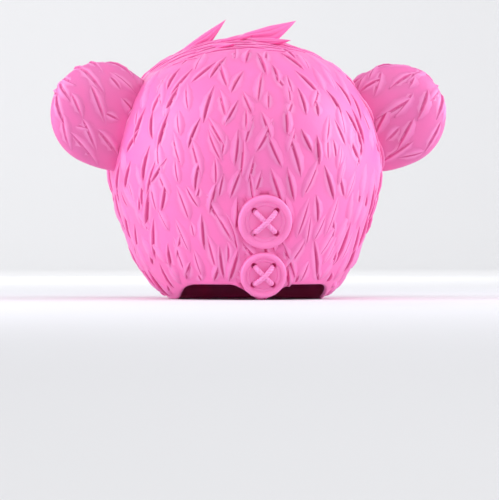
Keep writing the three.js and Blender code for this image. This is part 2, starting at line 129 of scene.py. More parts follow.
# The ears: round lobes with a dished front
EAR_RADIUS = 0.0475
EAR_STAND_OFF = 0.020
EAR_HEIGHT = 0.170
EAR_SET = 0.020
EAR_BACK_DEPTH = 0.019
EAR_FRONT_DEPTH = 0.013
EAR_DISH = 0.014
EAR_DISH_RADIUS = 0.8
EAR_LEAN = 24.0
EAR_TURN = -8.0
EAR_ROOT_SWEEP = 0.2
EAR_LAST_SWEEP = 0.995
EAR_ROOT_BREADTH = 0.35

# The two buttons at the nape
BUTTONS = {
    "upper": {"radius": 0.0245, "height": 0.0709},
    "lower": {"radius": 0.0210, "height": 0.0230},
}

# The ring that each button presses into the skin, just outside its own edge, and the painted shade laid in it
VALLEY_DEPTH = 0.0020
VALLEY_OUT = 0.001
VALLEY_WIDTH = 0.0013
VALLEY_SHADE = 0.6

# A button: its raised rim, its sunk middle with an inner ring, its four holes, and the skirt under it, with
# painted shade in its holes and on its skirt
BUTTON_THICKNESS = 0.005
BUTTON_RECESS = 0.002
BUTTON_FLOOR = BUTTON_THICKNESS - BUTTON_RECESS
BUTTON_MIDDLE = 0.02
BUTTON_SKIRT = (0.002, 0.0, -0.003)
BUTTON_SKIRT_SHADE = 0.3
RIM_FROM = 0.74
RIM_FULLNESS = 0.6
INNER_RING = 0.60
INNER_RING_STEP = 0.0009
INNER_RING_EDGE = (0.04, -0.02)
BUTTON_HOLE = 0.0023
BUTTON_HOLE_EDGE = (1.25, 0.75)
BUTTON_HOLE_DEPTH = 0.0026
BUTTON_HOLE_SHARE = 0.43

# The thread: a stitch dips into its hole, bends over the hole's edge and a shoulder, and crosses the
# middle. The edge and the shoulder are given by how far in from the stitch's end they lie, and how high.
THREAD_SHARE = 0.84
THREAD_RADIUS = 0.0022
THREAD_CLEAR = 0.0004
THREAD_DIP = 0.0012
THREAD_EDGE = (0.0004, 0.0009)
THREAD_SHOULDER = (0.003, 0.0005)
THREAD_RISE = 0.0012
THREAD_CROSSES_UNDER = 0.5
THREAD_CROSSES_OVER = 1.9
CORD = {"twists": 110.0, "points": 72, "strands": 3, "sides": 10, "strand_off": 0.48, "strand_radius": 0.6}

# The tuft's low mound: how far it spreads over the crown, and how high it stands there
TUFT_SPREAD = (0.098, 0.078)
TUFT_PAD_ASIDE = 0.018
TUFT_PAD_LIFT = 0.002
TUFT_SUNK = 0.0008

# The slits combed over the mound, in shares of its spread. The first row lies at left, and each further row
# by pitch more to the right. A row's ends lie by bow more to the right than its middle. Its half width
# grows from half by wider with each row, up to most. The ends of the first row turn by fan, in degrees,
# which fades and is gone in row fan_rows.
COMBED = {
    "rows": 6,
    "places": 14,
    "left": 0.86,
    "pitch": 0.27,
    "bow": 0.2,
    "half": 0.5,
    "wider": 0.1,
    "most": 0.85,
    "fan": 30.0,
    "fan_rows": 3,
    "size": 0.85,
    "length": 1.7,
    "lift": 0.6,
}

# A lock of the tuft is a combed fin. Its tip stands TUFT_CLEAR and its own rise over the crown, its top
# climbs there by TUFT_CURVE, and its foot leaves the crown at TUFT_FREE_FROM of its length.
TUFT_WIDTH = 0.018
TUFT_CLEAR = 0.0075
TUFT_CURVE = 1.25
TUFT_FREE_FROM = 0.62
TUFT_FOOT = 0.003
TUFT_FOOT_CURVE = 1.3
TUFT_ROOT_SHARE = 0.12
TUFT_FULLNESS = 0.9
TUFT_STRANDS = 9
TUFT_STRAND_DEPTH = 0.10

# The locks: aside and behind place the root, as shares of TUFT_ROOTS. heading is the way it sweeps, in
# degrees from +X towards the back. reach is its length and rise its tip's own rise, both in widths of a
# lock. size is its width as a share of the common one.
TUFT_ROOTS = (0.110, 0.056)
TUFT_LOCKS = (
    {"aside": 0.47, "behind": -0.05, "heading": 180, "reach": 2.9, "rise": 0.75, "size": 1.0},
    {"aside": 0.04, "behind": 0.05, "heading": 181, "reach": 3.9, "rise": 1.05, "size": 1.1},
    {"aside": 0.24, "behind": -0.25, "heading": 176, "reach": 3.3, "rise": 0.15, "size": 0.95},
    {"aside": 0.11, "behind": -0.3, "heading": 196, "reach": 3.4, "rise": 0.2, "size": 1.0},
    {"aside": 0.29, "behind": 0.2, "heading": 160, "reach": 3.2, "rise": 0.0, "size": 1.0},
    {"aside": -0.07, "behind": 0.25, "heading": 150, "reach": 3.0, "rise": 0.05, "size": 1.05},
    {"aside": 0.2, "behind": 0.28, "heading": 118, "reach": 2.6, "rise": -0.1, "size": 0.9},
    {"aside": -0.16, "behind": -0.3, "heading": 225, "reach": 2.6, "rise": 0.05, "size": 0.9},
)

# The fineness of each skin, and the angles, in degrees, from which an edge is sharp
SHARP_OPENING = 72.0
SHARP_SLIT = 60.0
OUTLINE_STEPS = 4001
CROWN_STEPS = 1001
EYE_SIDES = 64
MOUTH_STEPS = 33
HEAD_ROWS = 96
HEAD_COLUMNS = 360
INSIDE_ROWS = 40
INSIDE_EVERY = 4
EAR_ROWS = 60
EAR_COLUMNS = 120

# One slit between two locks of the fur, in rows from its upper end to its lower one, in shares of its own
# length, width and height. On both sides of its floor a lip rises to a crest. The floor carries painted shade
# and the crests a painted highlight, by the two colour shares of each column.
SLIT_ROWS = (
    {"along": 0.0, "wide": 0.08, "high": 0.0},
    {"along": 0.13, "wide": 0.52, "high": 0.40},
    {"along": 0.36, "wide": 0.90, "high": 0.86},
    {"along": 0.62, "wide": 1.0, "high": 1.0},
    {"along": 0.83, "wide": 0.74, "high": 0.74},
    {"along": 0.95, "wide": 0.32, "high": 0.28},
    {"along": 1.0, "wide": 0.05, "high": 0.0},
)
SLIT_COLUMNS = (
    {"across": -1.0, "stand": -0.04, "tilt": 0.0, "shade_paint": 0.0, "pale": 0.0},
    {"across": -0.62, "stand": 0.12, "tilt": -0.09, "shade_paint": 0.0, "pale": 0.15},
    {"across": -0.22, "stand": 0.54, "tilt": -0.42, "shade_paint": 0.0, "pale": 1.0},
    {"across": -0.10, "stand": 0.28, "tilt": -0.22, "shade_paint": 0.6, "pale": 0.0},
    {"across": 0.0, "stand": 0.04, "tilt": 0.0, "shade_paint": 1.0, "pale": 0.0},
    {"across": 0.10, "stand": 0.28, "tilt": 0.22, "shade_paint": 0.6, "pale": 0.0},
    {"across": 0.22, "stand": 0.54, "tilt": 0.42, "shade_paint": 0.0, "pale": 1.0},
    {"across": 0.62, "stand": 0.12, "tilt": 0.09, "shade_paint": 0.0, "pale": 0.15},
    {"across": 1.0, "stand": -0.04, "tilt": 0.0, "shade_paint": 0.0, "pale": 0.0},
)
SLIT_SUNK = 0.10

# What the root of each slit keeps in attributes
ROOT_DIRECTIONS = ("ahead", "facing")
ROOT_SIZES = ("length", "width", "lift", "roll", "bend")

# How short, how near to another and how near to the rim a slit may be
SHORTEST_SLIT = 0.007
SLITS_APART = 0.0085
RIM_MARGIN = 0.004

# How slits vary, from the least to the most: shares of the common sizes, for the lesser slit of a pair
# shares of the deeper one's, and how far a row's places stray aside, in places, and along, in row pitches
VARY = {
    "size": (0.8, 1.2),
    "length": (0.75, 1.15),
    "height": (0.8, 1.15),
    "roll": (0.6, 1.1),
    "lean": (0.5, 1.5),
    "half_lock": (0.2, 0.42),
    "lesser_height": (0.3, 0.8),
    "lesser_start": (-0.15, 0.45),
    "lesser_length": (0.5, 0.95),
    "head_aside": (-0.18, 0.18),
    "head_along": (-0.36, 0.36),
    "ear_aside": (0.05, 0.55),
    "ear_along": (-0.3, 0.3),
    "comb_aside": (-0.2, 0.2),
}

# The rows of slits on the head and on an ear. first is where the first row lies, in row pitches. Below
# steep_below of the head's height, a slit's own height tells its way down the outline. On an ear the turns
# are degrees round its back, the fur fades in over fade, and girth is half its way round, in radii.
HEAD_FUR = {"first": -0.4, "top": 0.012, "bottom": 0.985, "steep_below": 0.9, "fewest": 5}
EAR_FUR = {
    "first": 0.2,
    "last": 0.93,
    "end": 0.98,
    "from_turn": -6.0,
    "turns": 192.0,
    "fade": (-12.0, 20.0),
    "girth": 2.2,
    "lock_width": 1.15,
    "climb": 0.5,
    "fewest": 3,
    "size": 1.1,
    "lift": 0.9,
}

# Where the fur starts round each form that has none, and where it is full, as shares of the form's own reach
FUR_STARTS = {"muzzle": (1.03, 1.3), "tuft": (0.55, 0.8), "eye": (1.0, 1.35), "ear": (0.95, 1.12)}

# The fur is tried at these shares of a slit's length, and a slit with less than LEAST_FUR is left out
TRIED_AT = np.array([0.1, 0.55, 1.0])
LEAST_FUR = 0.05

# Small steps over which the direction of a skin is taken
SLIP = 0.005
FUR_STEP = 0.01

# The softboxes, in metres. light names the stage setting that gives the power. The one on the right has
# RIGHT_SHARE of it, and one without an aim of its own faces the mask.
COOL = (0.90, 0.90, 1.0)
WHITE = (1.0, 1.0, 1.0)
SOFTBOXES = {
    "softbox_left": {"place": (1.35, 0.25, 0.62), "size": (0.9, 1.2), "light": "side_light", "tint": COOL},
    "softbox_right": {"place": (-1.35, 0.25, 0.62), "size": (0.9, 1.2), "light": "side_light", "tint": COOL},
    "softbox_top": {"place": (0.1, 0.9, 1.9), "size": (1.6, 1.2), "light": "top_light", "tint": WHITE},
    "softbox_front": {"place": (0.3, -1.9, 0.9), "size": (1.4, 1.2), "light": "top_light", "tint": WHITE},
    "softbox_floor": {"place": (0.0, 3.2, 2.2), "size": (2.4, 1.6), "light": "floor_light", "tint": WHITE},
    "backdrop_wash": {"place": (0, -1.6, 2.4), "size": (5.0, 1.0), "light": "backdrop_light", "tint": WHITE},
}
SOFTBOX_AIMS = {"softbox_floor": (0.0, 3.0, 0.0), "backdrop_wash": (0.0, -5.0, 0.7)}
RIGHT_SHARE = 1.1
CAMERA_AIM = Vector((-0.004, HEAD_BEHIND, 0.045))


class FurSettings(bpy.types.PropertyGroup):
    """The slits that part the fur into locks."""

    slit_length: FloatProperty(
        name="Slit length",
        description="From a slit's upper end to its lower one",
        default=0.037,
        unit="LENGTH",
    )
    slit_width: FloatProperty(
        name="Slit width", description="Across a slit and both its lips", default=0.0155, unit="LENGTH"
    )
    slit_height: FloatProperty(
        name="Slit height", description="How high the higher lip stands", default=0.0031, unit="LENGTH"
    )
    lock_width: FloatProperty(
        name="Lock width", description="From one lock of a row to the next", default=0.0165, unit="LENGTH"
    )
    row_pitch: FloatProperty(
        name="Row pitch", description="From one row of locks to the next", default=0.0250, unit="LENGTH"
    )
    taper: FloatProperty(
        name="Taper", description="How far the slits beside a lock lean towards its tip", default=13.0
    )
    disorder: FloatProperty(
        name="Disorder", description="How far a slit turns from the flow of the fur", default=6.5
    )
    bend: FloatProperty(
        name="Bend", description="How far a slit's tip sweeps aside, in slit widths", default=0.22
    )
    seed: IntProperty(name="Seed", description="Which scatter of locks is laid", default=7)


class LatexSettings(bpy.types.PropertyGroup):
    """The colours and the finish of the latex."""

    skin: FloatVectorProperty(
        name="Skin", description="Colour of the latex", subtype="COLOR", default=(0.93, 0.170, 0.475)
    )
    # Painted shade: the colour laid in the slits, the button holes, the button skirts and the pressed rings,
    # where shade falls
    groove: FloatVectorProperty(
        name="Grooves",
        description="Colour in the slits between locks",
        subtype="COLOR",
        default=(0.60, 0.012, 0.17),
    )
    # Painted highlight: the lighter colour laid on the raised edges of the lips, where light catches them
    crest: FloatVectorProperty(
        name="Crests", description="Colour of the raised edges", subtype="COLOR", default=(0.96, 0.32, 0.64)
    )
    nose: FloatVectorProperty(
        name="Nose", description="Colour of the gloss nose", subtype="COLOR", default=(0.065, 0.006, 0.022)
    )
    roughness: FloatProperty(
        name="Roughness", description="Roughness of the latex", default=0.46, subtype="FACTOR"
    )


class StageSettings(bpy.types.PropertyGroup):
    """The floor, the lights and the camera."""

    floor: FloatVectorProperty(
        name="Floor",
        description="Colour of the floor and backdrop",
        subtype="COLOR",
        default=(0.765, 0.768, 0.772),
    )
    camera_distance: FloatProperty(
        name="Camera distance", description="From the mask to the camera", default=3.8, unit="LENGTH"
    )
    camera_turn: FloatProperty(
        name="Camera turn", description="How far the camera stands round from straight behind", default=8.9
    )
    camera_height: FloatProperty(
        name="Camera height", description="Of the camera over the floor", default=0.055, unit="LENGTH"
    )
    field_width: FloatProperty(
        name="Field width",
        description="Width that the picture takes in at the mask",
        default=0.464,
        unit="LENGTH",
    )
    side_light: FloatProperty(
        name="Side light", description="Power of each side softbox", default=16.0, unit="POWER"
    )
    top_light: FloatProperty(
        name="Top light",
        description="Power of the softboxes overhead and in front",
        default=6.0,
        unit="POWER",
    )
    backdrop_light: FloatProperty(
        name="Backdrop light",
        description="Power of the light that washes the backdrop",
        default=80.0,
        unit="POWER",
    )
    floor_light: FloatProperty(
        name="Floor light",
        description="Power of the light over the floor before the camera",
        default=29.0,
        unit="POWER",
    )
    fill: FloatProperty(name="Fill", description="Strength of the even light from all round", default=0.58)


def smoothstep(low, high, value):
    share = np.clip((value - low) / (high - low), 0.0, 1.0)
    return share * share * (3.0 - 2.0 * share)


def lengths(vectors):
    return np.sqrt((vectors * vectors).sum(-1))


def unit(vectors):
    return vectors / np.maximum(lengths(vectors), 1e-12)[..., None]


def outline_ways():
    """Where each section lies along the head's outline, as a share of its length, and that length."""
    across = np.diff(HEAD_SECTIONS[:, WIDE]) * HEAD_HALF_WIDTH
    fall = np.diff(HEAD_SECTIONS[:, DOWN]) * HEAD_HEIGHT
    ways = np.concatenate([[0.0], np.cumsum(np.hypot(across, fall))])
    return ways / ways[-1], ways[-1]


SECTION_WAYS, OUTLINE_LENGTH = outline_ways()


def section_at(way):
    """down, wide, front and back at each way, on one smooth curve through the sections."""
    last = len(SECTION_WAYS) - 1
    after = np.clip(np.searchsorted(SECTION_WAYS, way, side="right"), 1, last)
    before = after - 1
    earlier = np.where(before == 0, after, before - 1)
    later = np.where(after == last, before, np.minimum(after + 1, last))
    half = (SECTION_WAYS[after] - SECTION_WAYS[before]) / 2
    pull_back = half / (SECTION_WAYS[before] - SECTION_WAYS[earlier])
    pull_on = half / (SECTION_WAYS[later] - SECTION_WAYS[after])
    p = (way - SECTION_WAYS[before]) / (2 * half)
    weights = (
        (earlier, pull_back * (-(p**3) + 2 * p**2 - p)),
        (before, (1 + pull_back) * p**3 + (-1.5 - 2 * pull_back) * p**2 + (pull_back - 0.5) * p + 1),
        (after, (-1 - pull_on) * p**3 + (1.5 + pull_on) * p**2 + 0.5 * p),
        (later, pull_on * (p**3 - p**2)),
    )
    return sum(weight[..., None] * HEAD_SECTIONS[at] for at, weight in weights)


def way_at_height(height):
    """The way down the outline at which the head comes to each height."""
    ways = np.linspace(0.0, 1.0, OUTLINE_STEPS)
    heights = HEAD_HEIGHT * (1.0 - section_at(ways)[:, DOWN])
    return np.interp(height, heights[::-1], ways[::-1])


def rim_height(turn):
    """The rim's height in each direction, in degrees from +X towards the back."""
    behind = np.clip(np.sin(np.radians(turn)), 0.0, 1.0)
    from_side = np.degrees(np.arcsin(behind))
    aside = np.abs(np.cos(np.radians(turn))) * HEAD_SECTIONS[-1, WIDE] * HEAD_HALF_WIDTH
    beside_tab = smoothstep(0.0, TAB_HALF_WIDTH, aside)
    return np.where(behind > 0, NAPE_LIFT * smoothstep(NAPE_FROM, NAPE_TO, from_side) * beside_tab, 0.0)


def head_point(way, turn, depth=0.0):
    """Points of the head's smooth outside, or of the inside of its wall, about the head's own axis."""
    way, turn = np.broadcast_arrays(np.clip(way, 0.0, 1.0), np.asarray(turn, float))
    section = section_at(way)
    cos, sin = np.cos(np.radians(turn)), np.sin(np.radians(turn))
    reach = np.where(sin > 0, section[..., BACK] * HEAD_BACK, section[..., FRONT] * HEAD_FRONT)
    x = section[..., WIDE] * HEAD_HALF_WIDTH * cos
    point = np.stack([x, reach * sin, HEAD_HEIGHT * (1 - section[..., DOWN])], -1)
    if depth == 0.0:
        return point
    level = np.sin(way * math.pi / 2)
    inward = np.stack([-cos * level, -sin * level, -np.cos(way * math.pi / 2)], -1)
    facing = (inward * head_normal(way, turn)).sum(-1)
    return point + inward * (-depth / facing)[..., None]


def head_normal(way, turn):
    """The way that the head's smooth outside faces at each place."""
    way = np.clip(way, 2 * SLIP, 1.0 - 2 * SLIP)
    along = head_point(way + SLIP, turn) - head_point(way - SLIP, turn)
    around = head_point(way, turn + SLIP) - head_point(way, turn - SLIP)
    return unit(np.cross(along, around))


def nape_place(height):
    """The matrix that sets a thing, made facing +Z, on the nape's middle line at a height."""
    way = way_at_height(height)
    point = head_point(way, 90.0)
    facing = Vector(head_normal(way, 90.0))
    turn = Vector((0, 0, 1)).rotation_difference(facing)
    return Matrix.Translation(Vector(point)) @ turn.to_matrix().to_4x4()


def crown_height(x, y):
    """The height of the crown's surface over a place."""
    turn = math.degrees(math.atan2(y, x))
    ways = np.linspace(0.0, 0.5, CROWN_STEPS)
    points = head_point(ways, turn)
    return float(np.interp(math.hypot(x, y), lengths(points[:, :2]), points[:, 2]))


def with_muzzle(points, inset=0.0):
    """The points of the head, drawn out where the muzzle stands in front of it."""
    ahead = points - MUZZLE_GROWS_FROM
    head_reach = lengths(ahead)
    ahead = unit(ahead)
    radii = MUZZLE_RADII - inset
    start = (MUZZLE_GROWS_FROM - MUZZLE_CENTRE) / radii
    a = ((ahead / radii) ** 2).sum(-1)
    b = (ahead / radii * start).sum(-1)
    c = (start * start).sum() - 1.0
    muzzle_reach = (-b + np.sqrt(b * b - a * c)) / a
    share = np.clip(0.5 + 0.5 * (muzzle_reach - head_reach) / MUZZLE_FILLET, 0.0, 1.0)
    reach = head_reach * (1 - share) + muzzle_reach * share + MUZZLE_FILLET * share * (1 - share)
    return MUZZLE_GROWS_FROM + ahead * reach[..., None]


def grid_normals(points):
    """The way that a skin faces, where it is given as rows of points that each close on themselves."""
    along = np.gradient(points, axis=0)
    around = np.roll(points, -1, axis=1) - np.roll(points, 1, axis=1)
    return unit(np.cross(along, around))


def turned(ahead, facing, degrees):
    """A direction on a surface, turned about the way that the surface faces."""
    angle = math.radians(degrees)
    return unit(ahead * math.cos(angle) + np.cross(facing, ahead) * math.sin(angle))


def varied(scatter, key):
    return scatter.uniform(*VARY[key])


def slit_root(scatter, fur, root, ahead, facing, size=1.0, length=1.0, lift=1.0, high_side=1.0):
    """Where a slit starts, which way it runs, and its own sizes, each a little off the common ones. Its lift
    is a share of the common lip height."""
    own = size * varied(scatter, "size")
    return {
        "root": root,
        "ahead": turned(ahead, facing, scatter.normal(0.0, fur.disorder)),
        "facing": facing,
        "length": fur.slit_length * length * own * varied(scatter, "length"),
        "width": fur.slit_width * own,
        "lift": lift * varied(scatter, "height"),
        "roll": high_side * varied(scatter, "roll"),
        "bend": scatter.normal(0.0, fur.bend),
    }


def slit_pair(scatter, fur, middle, ahead, facing, size=1.0, length=1.0, lift=1.0):
    """The two slits beside a lock, which lean towards its tip. One of them is deeper and longer."""
    aside = np.cross(facing, ahead)
    deeper = scatter.choice((-1, 1))
    slits = []
    for side in (-1, 1):
        is_deeper = side == deeper
        own_lift = lift * (1.0 if is_deeper else varied(scatter, "lesser_height"))
        lean = fur.taper * varied(scatter, "lean")
        start = middle + aside * side * fur.lock_width * size * varied(scatter, "half_lock")
        start = start + ahead * fur.slit_length * (0.0 if is_deeper else varied(scatter, "lesser_start"))
        leaning = turned(ahead, facing, -side * lean)
        own_length = length * (1.0 if is_deeper else varied(scatter, "lesser_length"))
        slits.append(slit_root(scatter, fur, start, leaning, facing, size, own_length, own_lift, -side))
    return slits


def well_apart(roots):
    """The slits, highest first, without those whose middle lies too near to that of a higher one."""
    kept, middles = [], np.empty((0, 3))
    for slit in sorted(roots, key=lambda slit: -slit["lift"]):
        middle = slit["root"] + slit["ahead"] * slit["length"] / 2
        if len(middles) == 0 or lengths(middles - middle).min() > SLITS_APART:
            kept.append(slit)
            middles = np.concatenate([middles, [middle]])
    return kept


def head_roots(fur):
    """The slits of the head, in staggered rows from the crown to the rim, each a little out of line."""
    scatter = np.random.default_rng(fur.seed)
    roots = []
    rows = int(OUTLINE_LENGTH / fur.row_pitch) + 1
    for row in range(rows):
        middle = (row + HEAD_FUR["first"]) * fur.row_pitch / OUTLINE_LENGTH
        ring = head_point(min(max(middle, 2 * FUR_STEP), 1.0), np.linspace(0.0, 360.0, 73))
        around = lengths(np.diff(ring, axis=0)).sum()
        count = max(HEAD_FUR["fewest"], round(around / fur.lock_width))
        for place in range(count):
            turn = (place + 0.5 * (row % 2) + varied(scatter, "head_aside")) * 360.0 / count
            way = middle + varied(scatter, "head_along") * fur.row_pitch / OUTLINE_LENGTH
            way = min(max(way, HEAD_FUR["top"]), HEAD_FUR["bottom"])
            down = unit(head_point(way + FUR_STEP, turn) - head_point(way - FUR_STEP, turn))
            pair = slit_pair(scatter, fur, head_point(way, turn), down, head_normal(way, turn))
            roots.extend(slit for slit in pair if fits_the_head(slit, way))
    return well_apart(roots)


def fits_the_head(slit, way):
    """Ends a slit before the rim and lowers it where the fur fades. Tells whether anything of it is left."""
    x, y, height = slit["root"]
    turn = math.degrees(math.atan2(y, x))
    if height < HEAD_FUR["steep_below"] * HEAD_HEIGHT:
        way = float(way_at_height(height))
    to_rim = (float(way_at_height(rim_height(turn))) - way) * OUTLINE_LENGTH - RIM_MARGIN
    if to_rim < SHORTEST_SLIT:
        return False
    slit["length"] = min(slit["length"], to_rim)
    ways = way + TRIED_AT * slit["length"] / OUTLINE_LENGTH
    amount = fur_amount(head_point(ways, turn)).min()
    slit["lift"] *= min(1.0, 2 * amount)
    return amount > LEAST_FUR


def ear_centre():
    side = head_point(way_at_height(EAR_HEIGHT), 0.0)[0]
    return np.array([side + EAR_STAND_OFF, EAR_SET, EAR_HEIGHT])


def ear_turn():
    lean = Matrix.Rotation(math.radians(-EAR_LEAN), 3, "Y")
    turn = Matrix.Rotation(math.radians(-EAR_TURN), 3, "Z")
    return np.array(turn @ lean)


def fur_amount(points):
    """How full the fur is at each point of the head: none on the muzzle, the eyes, the ears and the tuft."""
    x, y, z = points[..., 0], points[..., 1], points[..., 2]
    amount = smoothstep(*FUR_STARTS["muzzle"], lengths((points - MUZZLE_CENTRE) / MUZZLE_RADII))
    from_tuft = np.hypot((x - TUFT_PAD_ASIDE) / TUFT_SPREAD[0], y / TUFT_SPREAD[1])
    amount *= np.where(z > MUZZLE_CENTRE[2], smoothstep(*FUR_STARTS["tuft"], from_tuft), 1.0)
    for side in (-1, 1):
        aside = (x - side * EYE_ASIDE) / (EYE_HALF_WIDTH + 2 * EYE_RIM)
        up = (z - EYE_HEIGHT) / (EYE_HALF_HEIGHT + 2 * EYE_RIM)
        amount *= np.where(y < 0, smoothstep(*FUR_STARTS["eye"], np.hypot(aside, up)), 1.0)
        own = (points * np.array([side, 1, 1]) - ear_centre()) @ ear_turn()
        depth = np.where(own[..., 1] > 0, EAR_BACK_DEPTH, EAR_FRONT_DEPTH)
        from_ear = np.sqrt((own[..., 0] ** 2 + own[..., 2] ** 2) / EAR_RADIUS**2 + (own[..., 1] / depth) ** 2)
        amount *= smoothstep(*FUR_STARTS["ear"], from_ear)
    return amount


def button_valley(points):
    """How deep the ring is pressed round each button, as a share of its full depth."""
    valley = np.zeros(points.shape[:-1])
    for button in BUTTONS.values():
        middle = head_point(way_at_height(button["height"]), 90.0)
        gap = lengths(points - middle) - button["radius"]
        valley = np.maximum(valley, np.exp(-(((gap - VALLEY_OUT) / VALLEY_WIDTH) ** 2)))
    return valley


def eye_rims(points):
    """How high the raised ring round each eye stands."""
    rim = np.zeros(points.shape[:-1])
    for side in (-1, 1):
        aside = points[..., 0] - side * EYE_ASIDE
        up = points[..., 2] - EYE_HEIGHT
        share = np.hypot(aside / EYE_HALF_WIDTH, up / EYE_HALF_HEIGHT)
        from_edge = (share - 1.0) * (EYE_HALF_WIDTH + EYE_HALF_HEIGHT) / 2
        bulge = EYE_RIM * np.sqrt(np.clip(1.0 - (from_edge / EYE_RIM) ** 2, 0.0, 1.0))
        rim = np.where(points[..., 1] < 0, np.maximum(rim, bulge), rim)
    return rim


def rows_of_faces(rows, columns, first, inward=False):
    """The faces between the rows of a skin whose rows close on themselves."""
    row, column = np.meshgrid(np.arange(rows - 1), np.arange(columns), indexing="ij")
    on = (column + 1) % columns
    a, b = first + row * columns + column, first + row * columns + on
    c, d = a + columns, b + columns
    corners = (a, b, d, c) if inward else (a, c, d, b)
    return np.stack(corners, -1).reshape(-1, 4).tolist()


def end_faces(ring, tip, before):
    """The faces that close a row of points to a single one, which lies before or after it."""
    pairs = zip(ring, ring[1:] + ring[:1])
    return [(tip, a, b) if before else (tip, b, a) for a, b in pairs]


def closed_loft(rings, first, last):
    """The points and faces of a body of rows that close on themselves, with a single point at each end."""
    rows, columns = rings.shape[:2]
    vertices = np.concatenate([[first], rings.reshape(-1, 3), [last]])
    start = list(range(1, 1 + columns))
    end = [at + (rows - 1) * columns for at in start]
    faces = rows_of_faces(rows, columns, 1)
    faces += end_faces(start, 0, True) + end_faces(end, len(vertices) - 1, False)
    return vertices, faces


def round_angles(count):
    return np.radians(np.arange(count) * 360.0 / count)


def make_object(name, vertices, faces, values=None, mirrored=False):
    """A new object of these faces. A mirrored one is turned the right way out again."""
    mesh = bpy.data.meshes.new(name)
    if mirrored:
        faces = [tuple(face)[::-1] for face in faces]
    mesh.from_pydata(np.asarray(vertices).tolist(), [], faces)
    for key, numbers in (values or {}).items():
        attribute = mesh.attributes.new(key, "FLOAT", "POINT")
        attribute.data.foreach_set("value", np.asarray(numbers, np.float32).ravel())
    mesh.shade_smooth()
    made = bpy.data.objects.new(name, mesh)
    bpy.context.scene.collection.objects.link(made)
    return made


def set_in_place(vertices):
    """Points about the head's own axis, moved to where the part has them."""
    return np.asarray(vertices) + np.array([0.0, HEAD_BEHIND, 0.0])


def finish_piece(piece, material, slot, *nodes):
    piece.data.materials.clear()
    piece.data.materials.append(material)
    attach(piece, "root")
    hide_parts(*nodes)
    return piece


def feed(tree, made, values):
    """Sets a node's inputs, by name or number: each one follows a socket or takes a plain value."""
    for key, value in values.items():
        if isinstance(value, bpy.types.NodeSocket):
            tree.links.new(value, made.inputs[key])
        else:
            made.inputs[key].default_value = value


def node(tree, kind, x, y, feeds=None, **settings):
    """A new node, with its settings and what its inputs are fed with."""
    made = tree.nodes.new(kind)
    made.location = (x, y)
    for key, value in settings.items():
        setattr(made, key, value)
    feed(tree, made, feeds or {})
    return made


def mix(tree, factor, first, second, x, y):
    """A colour mix. Each of the three is a socket or a plain value."""
    made = node(tree, "ShaderNodeMix", x, y, data_type="RGBA")
    at = {socket.identifier: place for place, socket in enumerate(made.inputs)}
    feed(tree, made, {at["Factor_Float"]: factor, at["A_Color"]: first, at["B_Color"]: second})
    return next(socket for socket in made.outputs if socket.identifier == "Result_Color")


def scaled(tree, value, low, high, x, y):
    """A value from 0 to 1, brought to another range."""
    made = node(tree, "ShaderNodeMapRange", x, y, {"Value": value, "To Min": low, "To Max": high})
    return made.outputs["Result"]


def noise(tree, vector, scale, detail, x, y):
    """Soft clouds or grains over a vector."""
    made = node(tree, "ShaderNodeTexNoise", x, y, {"Vector": vector, "Scale": scale, "Detail": detail})
    return made.outputs["Fac"]


def attribute(tree, name, x, y):
    return node(tree, "ShaderNodeAttribute", x, y, attribute_name=name).outputs["Fac"]


def bump(tree, height, distance, strength, x, y, over=None):
    """A bump, which may lie over another one."""
    feeds = {"Height": height, "Distance": distance, "Strength": strength}
    if over:
        feeds["Normal"] = over
    return node(tree, "ShaderNodeBump", x, y, feeds).outputs["Normal"]


def blank_material(name):
    """A new material, its tree, its shader, and the Object coordinates that its patterns follow."""
    material = bpy.data.materials.new(name)
    material.use_nodes = True
    tree = material.node_tree
    place = node(tree, "ShaderNodeTexCoord", -1500, 200)
    return material, tree, tree.nodes["Principled BSDF"], place.outputs["Object"]


def rgba(colour, factor=1.0):
    return (*(min(1.0, channel * factor) for channel in colour), 1.0)


